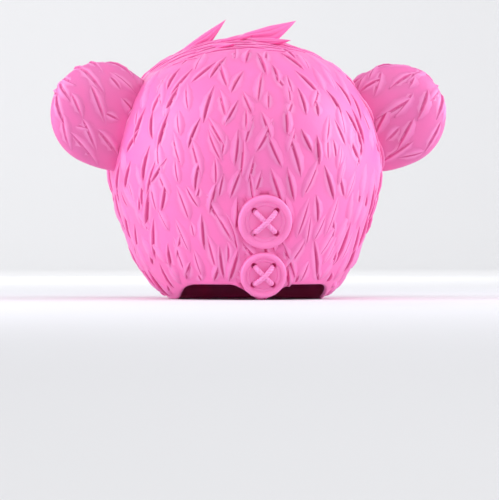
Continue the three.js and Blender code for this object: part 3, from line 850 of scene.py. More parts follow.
def latex(name, settings, strands=1.0, pale=0.0, deep=1.0, painted_shade_tone=1.0):
    """Moulded latex: painted shade in the slits, holes and rings, painted highlights on the crests, soft
    mottling, pores and fine strands.
    """
    material, tree, shader, place = blank_material(name)
    groove = attribute(tree, "groove", -1100, 500)
    crest = attribute(tree, "crest", -1100, 300)
    mottle = noise(tree, place, 26.0, 4.0, -1100, 100)
    # Mottling between a darker and a lighter skin. The last factor darkens the whole skin as painted shade,
    # for the ears, which stand in more shade
    darker, lighter = (rgba(settings.skin, share * painted_shade_tone) for share in (0.93, 1.07))
    skin = mix(tree, mottle, darker, lighter, -850, 150)
    # Painted highlight on the crests. pale gives a piece a share of that colour all over
    painted_highlight_share = scaled(tree, crest, pale, 0.8, -850, 350)
    paler = mix(tree, painted_highlight_share, skin, rgba(settings.crest), -600, 250)
    # Painted shade in the slits, holes and rings, scaled down by deep
    painted_shade_share = scaled(tree, groove, 0.0, deep, -600, 450)
    deeper = mix(tree, painted_shade_share, paler, rgba(settings.groove), -350, 350)

    pores = noise(tree, place, 1300.0, 2.0, -1100, -150)
    dents = noise(tree, place, 150.0, 3.0, -1100, -400)
    own = {"X": attribute(tree, "across", -1500, -600), "Y": attribute(tree, "along", -1500, -800)}
    surface = node(tree, "ShaderNodeCombineXYZ", -1300, -700, own)
    drawn_out = {"Vector": surface.outputs["Vector"], "Scale": (1.0, 0.0025, 1.0)}
    stretched = node(tree, "ShaderNodeMapping", -1100, -700, drawn_out)
    strand = noise(tree, stretched.outputs["Vector"], 620.0, 2.0, -850, -700)
    shine = scaled(tree, dents, settings.roughness - 0.06, settings.roughness + 0.08, -600, -150)
    dented = bump(tree, dents, 0.0005, 0.35, -300, -350)
    combed = bump(tree, strand, 0.0004, 0.45 * strands, -300, -550, dented)
    porous = bump(tree, pores, 0.0001, 0.25, -300, -750, combed)
    finish = {
        "Base Color": deeper,
        "Roughness": shine,
        "Normal": porous,
        "Subsurface Weight": 0.12,
        "Subsurface Radius": (1.0, 0.35, 0.5),
        "Subsurface Scale": 0.004,
        "Specular IOR Level": 0.55,
        "Sheen Weight": 0.12,
        "Sheen Roughness": 0.5,
        "Sheen Tint": (0.85, 0.75, 1.0, 1.0),
    }
    feed(tree, shader, finish)
    return material


def gloss(name, colour):
    """Gloss paint over moulded latex, with a fine grain."""
    material, tree, shader, place = blank_material(name)
    cloud = noise(tree, place, 90.0, 2.0, -700, 200)
    grain = node(tree, "ShaderNodeTexVoronoi", -700, -200, {"Vector": place, "Scale": 650.0})
    finish = {
        "Base Color": mix(tree, cloud, rgba(colour, 0.7), rgba(colour, 1.4), -400, 200),
        "Roughness": scaled(tree, cloud, 0.16, 0.3, -400, 0),
        "Normal": bump(tree, grain.outputs["Distance"], 0.0002, 0.35, -300, -250),
        "Coat Weight": 0.6,
        "Coat Roughness": 0.12,
    }
    feed(tree, shader, finish)
    return material


def studio_paper(colour):
    """The matt paper of the floor and backdrop."""
    material, tree, shader, place = blank_material("studio_paper")
    cloud = noise(tree, place, 3.0, 2.0, -500, 0)
    tint = mix(tree, cloud, rgba(colour, 0.995), rgba(colour, 1.005), -250, 0)
    feed(tree, shader, {"Base Color": tint, "Roughness": 0.95, "Specular IOR Level": 0.1})
    return material


def head_skin_mesh():
    """The head's outer skin before its fur, the smooth inside of its wall, and the edge that joins them."""
    turns = np.arange(HEAD_COLUMNS) * 360.0 / HEAD_COLUMNS
    rim_ways = way_at_height(rim_height(turns) + RIM_ROUND)
    shares = (np.arange(HEAD_ROWS) + 1.0) / HEAD_ROWS
    smooth = head_point(shares[:, None] * rim_ways, turns[None, :])
    valley = button_valley(smooth)
    skin = with_muzzle(smooth)
    skin += grid_normals(skin) * (eye_rims(skin) - VALLEY_DEPTH * valley)[..., None]
    skin[-1, :, 2] = smooth[-1, :, 2]

    inside_turns = turns[::INSIDE_EVERY]
    inside_shares = (np.arange(INSIDE_ROWS) + 1.0) / INSIDE_ROWS
    inside_ways = inside_shares[:, None] * rim_ways[::INSIDE_EVERY]
    inside = with_muzzle(head_point(inside_ways, inside_turns[None, :], WALL), WALL)
    inside[-1, :, 2] = smooth[-1, ::INSIDE_EVERY, 2]
    inner_rim = head_point(rim_ways, turns, WALL)
    inner_rim[:, 2] = smooth[-1, :, 2]
    edge_shares = np.array([0.18, 0.5, 0.82])
    edge = skin[-1][None] + (inner_rim - skin[-1])[None] * edge_shares[:, None, None]
    edge[..., 2] -= RIM_ROUND * np.sin(math.pi * edge_shares)[:, None]

    top = head_point(0.0, 0.0)
    inside_top = head_point(0.0, 0.0, WALL)
    outer = np.concatenate([skin, edge])
    vertices = np.concatenate([[top], outer.reshape(-1, 3), [inside_top], inside.reshape(-1, 3)])
    outer_rows = len(outer)
    columns = HEAD_COLUMNS // INSIDE_EVERY
    inside_first = 2 + outer_rows * HEAD_COLUMNS
    faces = rows_of_faces(outer_rows, HEAD_COLUMNS, 1)
    faces += end_faces(list(range(1, 1 + HEAD_COLUMNS)), 0, True)
    faces += rows_of_faces(INSIDE_ROWS, columns, inside_first, inward=True)
    faces += end_faces(list(range(inside_first, inside_first + columns)), inside_first - 1, False)
    last_outer = 1 + (outer_rows - 1) * HEAD_COLUMNS
    last_inside = inside_first + (INSIDE_ROWS - 1) * columns
    for column in range(columns):
        on = (column + 1) % columns
        outer_run = [last_outer + (column * INSIDE_EVERY + k) % HEAD_COLUMNS for k in range(INSIDE_EVERY + 1)]
        faces.append((outer_run[0], last_inside + column, last_inside + on, *outer_run[:0:-1]))
    # Painted shade in the rings pressed round the buttons
    groove = np.zeros(len(vertices))
    groove[1 : 1 + valley.size] = VALLEY_SHADE * valley.ravel()
    return vertices, faces, {"groove": groove}


def opening_cutter():
    """One body that cuts both eyes and the mouth straight through the front."""
    vertices, faces = [], []
    near, far = -HEAD_FRONT - MUZZLE_RADII[1], -HEAD_FRONT / 2

    def add_prism(outline):
        first, count = len(vertices), len(outline)
        vertices.extend((x, near, z) for x, z in outline)
        vertices.extend((x, far, z) for x, z in outline)
        front = list(range(first, first + count))
        back = [at + count for at in front]
        faces.append(front)
        faces.append(back[::-1])
        for at in range(count):
            on = (at + 1) % count
            faces.append((front[on], front[at], back[at], back[on]))

    angles = round_angles(EYE_SIDES)
    for side in (-1, 1):
        xs = side * EYE_ASIDE + EYE_HALF_WIDTH * np.cos(angles)
        zs = EYE_HEIGHT + EYE_HALF_HEIGHT * np.sin(angles)
        add_prism(list(zip(xs.tolist(), zs.tolist())))
    half = math.asin(MOUTH_HALF_WIDTH / MOUTH_BEND)
    sweep = np.linspace(-half, half, MOUTH_STEPS)
    lips = []
    for bend in (MOUTH_BEND + MOUTH_GAP / 2, MOUTH_BEND - MOUTH_GAP / 2):
        lips.append([(bend * math.sin(a), -bend * math.cos(a) + MOUTH_HEIGHT + MOUTH_BEND) for a in sweep])
    add_prism(lips[0] + lips[1][::-1])
    return make_object("opening_cutter", set_in_place(vertices), faces)


def applied(made):
    """The object with its modifiers made part of its mesh."""
    graph = bpy.context.evaluated_depsgraph_get()
    evaluated = made.evaluated_get(graph)
    mesh = bpy.data.meshes.new_from_object(evaluated, preserve_all_data_layers=True, depsgraph=graph)
    made.modifiers.clear()
    old = made.data
    made.data = mesh
    bpy.data.meshes.remove(old)
    mesh.name = made.name
    return made


def slit_shape():
    """One slit of the fur, flat from its upper end at the origin to its lower one at X = 1, and a unit wide.
    What stands up is kept in attributes, because each slit takes the curve of the skin that it is laid on."""
    vertices, values = [], {key: [] for key in ("stand", "tilt", "groove", "crest", "along")}
    for row in SLIT_ROWS:
        for column in SLIT_COLUMNS:
            vertices.append((row["along"], column["across"] * row["wide"] / 2, 0.0))
            values["stand"].append(column["stand"] * row["high"] - SLIT_SUNK * (1.0 - row["high"]))
            values["tilt"].append(column["tilt"] * row["high"])
            # Painted shade on the slit's floor, and a painted highlight on its lips' crests
            values["groove"].append(column["shade_paint"] * min(1.0, 1.6 * row["high"]))
            values["crest"].append(column["pale"] * row["high"])
            values["along"].append(row["along"])
    columns, rows = len(SLIT_COLUMNS), len(SLIT_ROWS)
    faces = []
    for row in range(rows - 1):
        for column in range(columns):
            on = (column + 1) % columns
            a, b = row * columns + column, row * columns + on
            faces.append((a, a + columns, b + columns, b))
    shape = make_object("slit_shape", vertices, faces, values)
    closed = bmesh.new()
    closed.from_mesh(shape.data)
    bmesh.ops.holes_fill(closed, edges=closed.edges)
    closed.to_mesh(shape.data)
    closed.free()
    shape.data.shade_smooth()
    shape.data.set_sharp_from_angle(angle=math.radians(SHARP_SLIT))
    return shape


def roots_object(roots):
    """The places that slits start from, with the direction and the sizes of each in attributes."""
    mesh = bpy.data.meshes.new("slit_roots")
    mesh.from_pydata(set_in_place([slit["root"] for slit in roots]).tolist(), [], [])
    for key in ROOT_DIRECTIONS:
        directions = np.array([slit[key] for slit in roots], np.float32)
        mesh.attributes.new(key, "FLOAT_VECTOR", "POINT").data.foreach_set("vector", directions.ravel())
    for key in ROOT_SIZES:
        sizes = np.array([slit[key] for slit in roots], np.float32)
        mesh.attributes.new(key, "FLOAT", "POINT").data.foreach_set("value", sizes)
    made = bpy.data.objects.new("slit_roots", mesh)
    bpy.context.scene.collection.objects.link(made)
    return made


def new_tree(name, inputs, result):
    """A new Geometry Nodes tree with these inputs, each with its kind, and the sockets that give them."""
    tree = bpy.data.node_groups.new(name, "GeometryNodeTree")
    for label, kind in inputs.items():
        tree.interface.new_socket(label, in_out="INPUT", socket_type=f"NodeSocket{kind}")
    tree.interface.new_socket(result, in_out="OUTPUT", socket_type="NodeSocketGeometry")
    return tree, node(tree, "NodeGroupInput", -1800, 0).outputs


def end_tree(tree, geometry, material, result):
    """Ends a tree: what it made is realized and gets its material."""
    real = node(tree, "GeometryNodeRealizeInstances", 1000, 200, {"Geometry": geometry})
    finish = {"Geometry": real.outputs["Geometry"], "Material": material}
    finished = node(tree, "GeometryNodeSetMaterial", 1250, 200, finish)
    node(tree, "NodeGroupOutput", 1600, 0, {result: finished.outputs["Geometry"]})


def add_nodes(piece, name, tree, values):
    """Adds a Geometry Nodes modifier to a piece, and sets its inputs by their sockets' identifiers."""
    made = piece.modifiers.new(name, "NODES")
    made.node_group = tree
    sockets = {item.name: item.identifier for item in tree.interface.items_tree if item.in_out == "INPUT"}
    for label, value in values.items():
        made[sockets[label]] = value


def number(tree, operation, first, second, x, y):
    return node(tree, "ShaderNodeMath", x, y, {0: first, 1: second}, operation=operation).outputs[0]


def vector(tree, operation, first, second, x, y):
    feeds = {0: first, "Scale" if operation == "SCALE" else 1: second}
    return node(tree, "ShaderNodeVectorMath", x, y, feeds, operation=operation).outputs[0]


def slits_tree():
    """Geometry Nodes that lay a slit at each root, bend it to the skin under it, and join it to the skin."""
    shapes = {"Skin": "Geometry", "Roots": "Object", "Slit": "Object"}
    tree, given = new_tree("laid_slits", {**shapes, "Lip height": "Float", "Finish": "Material"}, "Furred")

    def own(name, y, kind="FLOAT"):
        made = node(tree, "GeometryNodeInputNamedAttribute", -1500, y, {"Name": name}, data_type=kind)
        return made.outputs["Attribute"]

    def on_skin(value, y):
        """A value of the skin, at the place that lies nearest."""
        feeds = {"Mesh": caught.outputs["Geometry"], "Value": value}
        made = node(tree, "GeometryNodeSampleNearestSurface", -100, y, feeds, data_type="FLOAT_VECTOR")
        return made.outputs["Value"]

    roots = node(tree, "GeometryNodeObjectInfo", -1500, 500, {"Object": given["Roots"]})
    shape = node(tree, "GeometryNodeObjectInfo", -1500, 300, {"Object": given["Slit"]})
    ahead, facing = own("ahead", 100, "FLOAT_VECTOR"), own("facing", -50, "FLOAT_VECTOR")
    run = node(tree, "FunctionNodeAlignRotationToVector", -1250, 100, {"Vector": ahead}, axis="X")
    upright = {"Rotation": run.outputs["Rotation"], "Vector": facing}
    stood = node(tree, "FunctionNodeAlignRotationToVector", -1050, 100, upright, axis="Z", pivot_axis="X")
    sizes = {"X": own("length", -200), "Y": own("width", -300), "Z": 1.0}
    size = node(tree, "ShaderNodeCombineXYZ", -1050, -100, sizes)
    instances = {
        "Points": roots.outputs["Geometry"],
        "Instance": shape.outputs["Geometry"],
        "Rotation": stood.outputs["Rotation"],
        "Scale": size.outputs["Vector"],
    }
    laid = node(tree, "GeometryNodeInstanceOnPoints", -800, 300, instances)
    flat = node(tree, "GeometryNodeRealizeInstances", -600, 300, {"Geometry": laid.outputs["Instances"]})

    # Each tip sweeps aside by its bend
    along = own("along", -450)
    swept = number(tree, "MULTIPLY", along, along, -1250, -450)
    swept = number(tree, "MULTIPLY", swept, own("bend", -550), -1050, -450)
    swept = number(tree, "MULTIPLY", swept, own("width", -650), -850, -450)
    side = vector(tree, "CROSS_PRODUCT", facing, ahead, -1250, -650)
    sweep = {"Geometry": flat.outputs["Geometry"], "Offset": vector(tree, "SCALE", side, swept, -650, -450)}
    aside = node(tree, "GeometryNodeSetPosition", -350, 300, sweep)

    # Then the slit lies down on the skin, and its lips stand up from it by their own height
    skin_facing = node(tree, "GeometryNodeInputNormal", -600, 0)
    caught = node(tree, "GeometryNodeCaptureAttribute", -350, 50)
    caught.capture_items.new("VECTOR", "Facing")
    feed(tree, caught, {"Geometry": given["Skin"], "Facing": skin_facing.outputs["Normal"]})
    here = node(tree, "GeometryNodeInputPosition", -350, -200)
    nearest = on_skin(here.outputs["Position"], -100)
    outward = on_skin(caught.outputs["Facing"], -350)
    leaned = number(tree, "MULTIPLY", own("tilt", -850), own("roll", -950), -1250, -850)
    height = number(tree, "ADD", own("stand", -1050), leaned, -1050, -850)
    height = number(tree, "MULTIPLY", height, own("lift", -1150), -850, -850)
    height = number(tree, "MULTIPLY", height, given["Lip height"], -650, -850)
    raised = vector(tree, "SCALE", outward, height, 100, -350)
    final = vector(tree, "ADD", nearest, raised, 300, -200)
    lying = {"Geometry": aside.outputs["Geometry"], "Position": final}
    bent = node(tree, "GeometryNodeSetPosition", 500, 300, lying)
    joined = node(tree, "GeometryNodeJoinGeometry", 750, 200, {"Geometry": bent.outputs["Geometry"]})
    feed(tree, joined, {"Geometry": given["Skin"]})
    end_tree(tree, joined.outputs["Geometry"], given["Finish"], "Furred")
    return tree


def lay_slits(skin, roots, lip_height, material=None):
    """Lays the slits on a skin and makes them part of its mesh."""
    tree = bpy.data.node_groups.get("laid_slits") or slits_tree()
    helpers = {"Roots": roots_object(roots), "Slit": slit_shape()}
    finish = {"Finish": material} if material else {}
    add_nodes(skin, "slits", tree, {**helpers, "Lip height": lip_height, **finish})
    applied(skin)
    for helper in helpers.values():
        bpy.data.objects.remove(helper)
    for key in (*ROOT_DIRECTIONS, *ROOT_SIZES, "stand", "tilt"):
        spent = skin.data.attributes.get(key)
        if spent:
            skin.data.attributes.remove(spent)


class MASK_OT_head(bpy.types.Operator):
    """Builds the head: the furred skin, the inside of its wall, and the eye and mouth openings"""

    bl_idname = "mask.head"
    bl_label = "Head"

    def execute(self, context):
        scene = context.scene
        vertices, faces, values = head_skin_mesh()
        head = make_object("moulded_head", set_in_place(vertices), faces, values)
        cutter = opening_cutter()
        cut = head.modifiers.new("openings", "BOOLEAN")
        cut.operation = "DIFFERENCE"
        cut.solver = "EXACT"
        cut.object = cutter
        applied(head)
        bpy.data.objects.remove(cutter)
        head.data.set_sharp_from_angle(angle=math.radians(SHARP_OPENING))
        material = latex("head_latex", scene.mask_latex)
        lay_slits(head, head_roots(scene.mask_fur), scene.mask_fur.slit_height, material)
        finish_piece(head, material, "pink_latex", "head_shell")
        return {"FINISHED"}


def ear_point(sweep, angle):
    """Points of an ear's smooth skin about its own centre, from its root to its outer edge."""
    sweep, angle = np.broadcast_arrays(sweep, angle)
    out = -np.cos(sweep * math.pi)
    breadth = np.sin(sweep * math.pi)
    across = np.where(sweep < 0.5, breadth**EAR_ROOT_BREADTH, breadth) * np.cos(angle)
    deep = np.sin(sweep * math.pi) * np.sin(angle)
    from_centre = np.hypot(out, across) / EAR_DISH_RADIUS
    dished = (deep < 0) & (from_centre < 1)
    dish = np.where(dished, EAR_DISH * (1 - np.minimum(from_centre, 1.0) ** 2) ** 2, 0.0)
    depth = np.where(deep < 0, EAR_FRONT_DEPTH, EAR_BACK_DEPTH)
    return np.stack([out * EAR_RADIUS, deep * depth + dish, across * EAR_RADIUS], -1)


def ear_roots(fur, seed):
    """The slits of an ear, between broad locks that sweep outwards and up."""
    scatter = np.random.default_rng(seed)
    pitch = fur.row_pitch / (math.pi * EAR_RADIUS)
    roots = []
    for row in range(int((EAR_FUR["last"] - EAR_ROOT_SWEEP) / pitch) + 1):
        middle = EAR_ROOT_SWEEP + (row + EAR_FUR["first"]) * pitch
        girth = EAR_FUR["girth"] * EAR_RADIUS * math.sin(math.pi * middle)
        count = max(EAR_FUR["fewest"], round(girth / (EAR_FUR["lock_width"] * fur.lock_width)))
        for place in range(count):
            share = (place + 0.5 * (row % 2) + varied(scatter, "ear_aside")) / (count + 0.5)
            turn = EAR_FUR["from_turn"] + EAR_FUR["turns"] * share
            sweep = middle + varied(scatter, "ear_along") * pitch
            angle = math.radians(turn)
            along = unit(ear_point(sweep + FUR_STEP, angle) - ear_point(sweep - FUR_STEP, angle))
            around = ear_point(sweep, angle + FUR_STEP) - ear_point(sweep, angle - FUR_STEP)
            facing = unit(np.cross(along, around))
            up = np.array([0.0, 0.0, 1.0]) - facing * facing[2]
            ahead = unit(along + EAR_FUR["climb"] * up)
            left = (EAR_FUR["end"] - sweep) * math.pi * EAR_RADIUS
            own = {"size": EAR_FUR["size"], "lift": EAR_FUR["lift"]}
            for slit in slit_pair(scatter, fur, ear_point(sweep, angle), ahead, facing, **own):
                slit["lift"] *= float(smoothstep(*EAR_FUR["fade"], min(turn, 180.0 - turn)))
                slit["length"] = min(slit["length"], max(left, SHORTEST_SLIT))
                roots.append(slit)
    return well_apart(roots)


def ear_mesh():
    """An ear's smooth skin about its own centre, closed at its root and its outer edge."""
    sweeps = EAR_ROOT_SWEEP + (EAR_LAST_SWEEP - EAR_ROOT_SWEEP) * np.arange(EAR_ROWS) / (EAR_ROWS - 1)
    smooth = ear_point(sweeps[:, None], round_angles(EAR_COLUMNS)[None, :])
    root = ear_point(EAR_ROOT_SWEEP, 0.0) * np.array([1, 0, 0])
    return closed_loft(smooth, root, ear_point(1.0, 0.0))


def ear_in_place(vectors, side, is_place=True):
    """An ear's points or directions, brought to the left (1) or the right (-1) side of the head."""
    moved = np.asarray(vectors) @ ear_turn().T + (ear_centre() if is_place else 0.0)
    return moved * np.array([side, 1, 1])


def kept_in_wall(points):
    """An ear's points, of which those that would stand in the head's hollow are drawn out into its wall."""
    section = section_at(way_at_height(points[:, 2]))
    wide = section[:, WIDE] * HEAD_HALF_WIDTH
    reach = np.where(points[:, 1] > 0, section[:, BACK] * HEAD_BACK, section[:, FRONT] * HEAD_FRONT)
    share = np.hypot(points[:, 0] / wide, points[:, 1] / reach)
    least = 1.0 - WALL / 2 / wide
    grow = np.maximum(1.0, least / share)
    return points * np.stack([grow, grow, np.ones_like(grow)], -1)


class MASK_OT_ears(bpy.types.Operator):
    """Builds the two ears, each with its own scatter of slits"""

    bl_idname = "mask.ears"
    bl_label = "Ears"

    def execute(self, context):
        scene = context.scene
        # The ears take a darker copy of the latex, with painted shade over the whole ear and less painted
        # shade in their slits
        material = latex("ear_latex", scene.mask_latex, deep=0.7, painted_shade_tone=0.86)
        for side, name in ((1, "left"), (-1, "right")):
            vertices, faces = ear_mesh()
            vertices = set_in_place(kept_in_wall(ear_in_place(vertices, side)))
            ear = make_object(f"moulded_ear_{name}", vertices, faces, mirrored=side < 0)
            roots = ear_roots(scene.mask_fur, scene.mask_fur.seed + side)
            for slit in roots:
                slit["root"] = ear_in_place(slit["root"], side)
                slit["ahead"] = ear_in_place(slit["ahead"], side, is_place=False)
                slit["facing"] = ear_in_place(slit["facing"], side, is_place=False)
            lay_slits(ear, roots, scene.mask_fur.slit_height, material)
            finish_piece(ear, material, "pink_latex", f"ear_{name}")
        return {"FINISHED"}


def tuft_blade(lock, steps=42, sides=36):
    """A lock of the tuft: a fin, whose foot stays on the crown until its tip sweeps up and away from it."""
    shares = np.linspace(0.0, 1.0, steps)
    heading = math.radians(lock["heading"])
    reach = shares * lock["reach"] * TUFT_WIDTH
    x = TUFT_PAD_ASIDE + lock["aside"] * TUFT_ROOTS[0] + math.cos(heading) * reach
    y = lock["behind"] * TUFT_ROOTS[1] + math.sin(heading) * reach
    crown = np.array([crown_height(*place) for place in zip(x.tolist(), y.tolist())])
    tip = TUFT_CLEAR + lock["rise"] * TUFT_WIDTH
    top = tip * shares**TUFT_CURVE
    leaves = np.clip((shares - TUFT_FREE_FROM) / (1.0 - TUFT_FREE_FROM), 0.0, 1.0)
    foot = -TUFT_FOOT + (tip + TUFT_FOOT) * leaves**TUFT_FOOT_CURVE
    swell = np.sin(math.pi * (TUFT_ROOT_SHARE + (1.0 - TUFT_ROOT_SHARE) * shares)) ** TUFT_FULLNESS
    angles = round_angles(sides)
    depth = TUFT_STRAND_DEPTH * np.cos(TUFT_STRANDS * angles)
    combed = 1.0 + depth[None, :] * (smoothstep(0.1, 0.4, shares) * (1 - leaves))[:, None]
    wide = np.cos(angles)[None, :] * (TUFT_WIDTH * lock["size"] / 2 * swell)[:, None] * combed
    high = np.sin(angles)[None, :] * ((top - foot) / 2)[:, None] * combed
    side = np.array([-math.sin(heading), math.cos(heading), 0.0])
    spine = np.stack([x, y, crown + (top + foot) / 2], -1)
    rings = spine[:, None] + side * wide[..., None] + np.array([0.0, 0.0, 1.0]) * high[..., None]
    values = {
        # Painted shade in the grooves between the strands
        "groove": np.clip((1.02 - combed) * 4.0, 0.0, 0.5)[:-1],
        "across": (np.hypot(wide, high) * np.sign(wide))[:-1],
        "along": np.repeat(shares[:-1, None], sides, 1),
    }
    return rings[:-1], spine[0], spine[-1], values


def tuft_pad(rows=30, columns=96):
    """The low mound that carries the locks. Its outer part runs out under the fur of the head."""
    angles = round_angles(columns)
    shares = (np.arange(rows) + 1.0) / rows
    x = TUFT_PAD_ASIDE + shares[:, None] * TUFT_SPREAD[0] * np.cos(angles)
    y = shares[:, None] * TUFT_SPREAD[1] * np.sin(angles)
    places = zip(x.ravel().tolist(), y.ravel().tolist())
    under = np.array([crown_height(*place) for place in places]).reshape(rows, columns)
    mound = (TUFT_PAD_LIFT + TUFT_SUNK) * smoothstep(1.0, 0.25, shares)[:, None]
    crown = np.array([TUFT_PAD_ASIDE, 0.0, crown_height(TUFT_PAD_ASIDE, 0.0)])
    lift = np.array([0.0, 0.0, TUFT_PAD_LIFT])
    return np.stack([x, y, under + mound - TUFT_SUNK], -1), crown + lift, crown - lift, {}


def loft_object(name, lofts):
    """A new object of closed bodies, each given by its rows of points, its two end points and its values."""
    vertices, faces = [], []
    values = {"groove": [], "crest": [], "across": [], "along": []}
    for rings, first, last, own in lofts:
        points, own_faces = closed_loft(rings, first, last)
        faces.extend([at + len(vertices) for at in face] for face in own_faces)
        vertices.extend(points.tolist())
        for key, numbers in values.items():
            shown = own.get(key, np.zeros(rings.shape[:2]))
            numbers.extend([0.0, *shown.ravel().tolist(), 0.0])
    return make_object(name, set_in_place(vertices), faces, values)


def combed_roots(fur):
    """Long shallow slits over the mound, which fan out from its left end the way the tuft sweeps."""
    scatter = np.random.default_rng(fur.seed + 2)
    slip = 0.004
    roots = []
    for row in range(COMBED["rows"]):
        for place in range(COMBED["places"]):
            share = (place + 0.5 * (row % 2) + varied(scatter, "comb_aside")) / (COMBED["places"] - 0.5)
            across = 2 * share - 1
            start = COMBED["left"] - COMBED["pitch"] * row - COMBED["bow"] * abs(across)
            x = TUFT_PAD_ASIDE + TUFT_SPREAD[0] * start
            y = TUFT_SPREAD[1] * across * min(COMBED["most"], COMBED["half"] + COMBED["wider"] * row)
            heading = math.radians(180.0 - COMBED["fan"] * across * (1.0 - row / COMBED["fan_rows"]))
            ahead = np.array([math.cos(heading), math.sin(heading), 0.0])
            slope = (crown_height(x + slip, y) - crown_height(x - slip, y)) / (2 * slip)
            facing = unit(np.array([-slope, 0.0, 1.0]))
            ahead = unit(ahead - facing * (ahead @ facing))
            root = np.array([x, y, crown_height(x, y) + TUFT_PAD_LIFT / 2])
            own = {key: COMBED[key] for key in ("size", "length", "lift")}
            own["high_side"] = math.copysign(1.0, across)
            roots.append(slit_root(scatter, fur, root, ahead, facing, **own))
    return roots


def joined_with(piece, other):
    """Adds another object's mesh to a piece's own, and takes the other away."""
    both = bmesh.new()
    both.from_mesh(piece.data)
    both.from_mesh(other.data)
    both.to_mesh(piece.data)
    both.free()
    bpy.data.objects.remove(other)


class MASK_OT_tuft(bpy.types.Operator):
    """Builds the swept tuft on the crown"""

    bl_idname = "mask.tuft"
    bl_label = "Tuft"

    def execute(self, context):
        scene = context.scene
        tuft = loft_object("swept_tuft", [tuft_blade(lock) for lock in TUFT_LOCKS])
        mound = loft_object("tuft_mound", [tuft_pad()])
        lay_slits(mound, combed_roots(scene.mask_fur), scene.mask_fur.slit_height)
        joined_with(tuft, mound)
        finish_piece(tuft, latex("tuft_latex", scene.mask_latex, strands=1.6), "pink_latex", "hair_tuft")
        return {"FINISHED"}


def nose_mesh(rows=64, columns=96):
    """A broad rounded nose, flatter above, with a soft hollow at each nostril."""
    tilt = (np.arange(rows) + 1.0) / (rows + 1) * math.pi
    angles = round_angles(columns)
    ahead = np.cos(tilt)[:, None] * np.ones(columns)
    x = np.sin(tilt)[:, None] * np.cos(angles)
    z = np.sin(tilt)[:, None] * np.sin(angles)
    narrow = 1.0 - NOSE_NARROWS * smoothstep(0.1, 1.0, -z)
    flat = 1.0 - NOSE_FLATTENS * smoothstep(0.4, 1.0, z)
    points = np.stack([x * narrow, -ahead, z * flat], -1)
    for side in (-1, 1):
        gap = lengths(points - NOSTRIL["place"] * np.array([side, 1, 1]))
        points[..., 1] += NOSTRIL["depth"] * np.exp(-((gap / NOSTRIL["radius"]) ** 2))
    vertices, faces = closed_loft(points, (0.0, -1.0, 0.0), (0.0, 1.0, 0.0))
    return vertices * NOSE_RADII + NOSE_CENTRE, faces


class MASK_OT_nose(bpy.types.Operator):
    """Builds the glossy nose"""

    bl_idname = "mask.nose"
    bl_label = "Nose"

    def execute(self, context):
        vertices, faces = nose_mesh()
        nose = make_object("glossy_nose", set_in_place(vertices), faces)
        finish_piece(nose, gloss("nose_gloss", context.scene.mask_latex.nose), "nose_gloss", "nose")
        return {"FINISHED"}


def hole_centres(radius):
    aside = radius * BUTTON_HOLE_SHARE
    return [np.array([x * aside, y * aside]) for x in (-1, 1) for y in (-1, 1)]


def button_mesh(radius, columns=128, rows=64):
    """A button: a round raised rim, a sunk middle with a faint inner ring, and four holes, facing +Z."""
    share = np.linspace(BUTTON_MIDDLE, 1.0, rows)
    rim_share = np.clip((share - RIM_FROM) / (1.0 - RIM_FROM), 0.0, 1.0)
    top = BUTTON_FLOOR + BUTTON_RECESS * np.sin(math.pi * rim_share) ** RIM_FULLNESS
    top -= INNER_RING_STEP * smoothstep(*(INNER_RING + edge for edge in INNER_RING_EDGE), share)
    angles = round_angles(columns)
    x = radius * share[:, None] * np.cos(angles)
    y = radius * share[:, None] * np.sin(angles)
    z = top[:, None] * np.ones(columns)
    groove = np.zeros_like(z)
    for hole in hole_centres(radius):
        gap = np.hypot(x - hole[0], y - hole[1])
        pit = smoothstep(*(BUTTON_HOLE * edge for edge in BUTTON_HOLE_EDGE), gap)
        z -= BUTTON_HOLE_DEPTH * pit
        # Painted shade in the holes
        groove = np.maximum(groove, pit)
    edge = np.stack([x[-1], y[-1]], -1)
    skirt = [np.insert(edge, 2, height, axis=1) for height in BUTTON_SKIRT]
    rings = np.concatenate([np.stack([x, y, z], -1), skirt])
    vertices, faces = closed_loft(rings, (0, 0, top[0]), (0, 0, BUTTON_SKIRT[-1]))
    # Painted shade on the skirt under the button's edge
    skirt_shade = np.full(len(skirt) * columns, BUTTON_SKIRT_SHADE)
    return vertices, faces, {"groove": np.concatenate([[0.0], groove.ravel(), skirt_shade, [0.0]])}


def placed(vertices, matrix):
    turn = np.array(matrix.to_3x3())
    return np.asarray(vertices) @ turn.T + np.array(matrix.translation)


class MASK_OT_buttons(bpy.types.Operator):
    """Builds the two buttons at the nape"""

    bl_idname = "mask.buttons"
    bl_label = "Buttons"

    def execute(self, context):
        material = latex("button_latex", context.scene.mask_latex, strands=0.3, pale=0.35)
        for name, button in BUTTONS.items():
            vertices, faces, values = button_mesh(button["radius"])
            vertices = placed(vertices, nape_place(button["height"]))
            made = make_object(f"nape_button_{name}", set_in_place(vertices), faces, values)
            finish_piece(made, material, "button_latex", f"button_{name}")
        return {"FINISHED"}


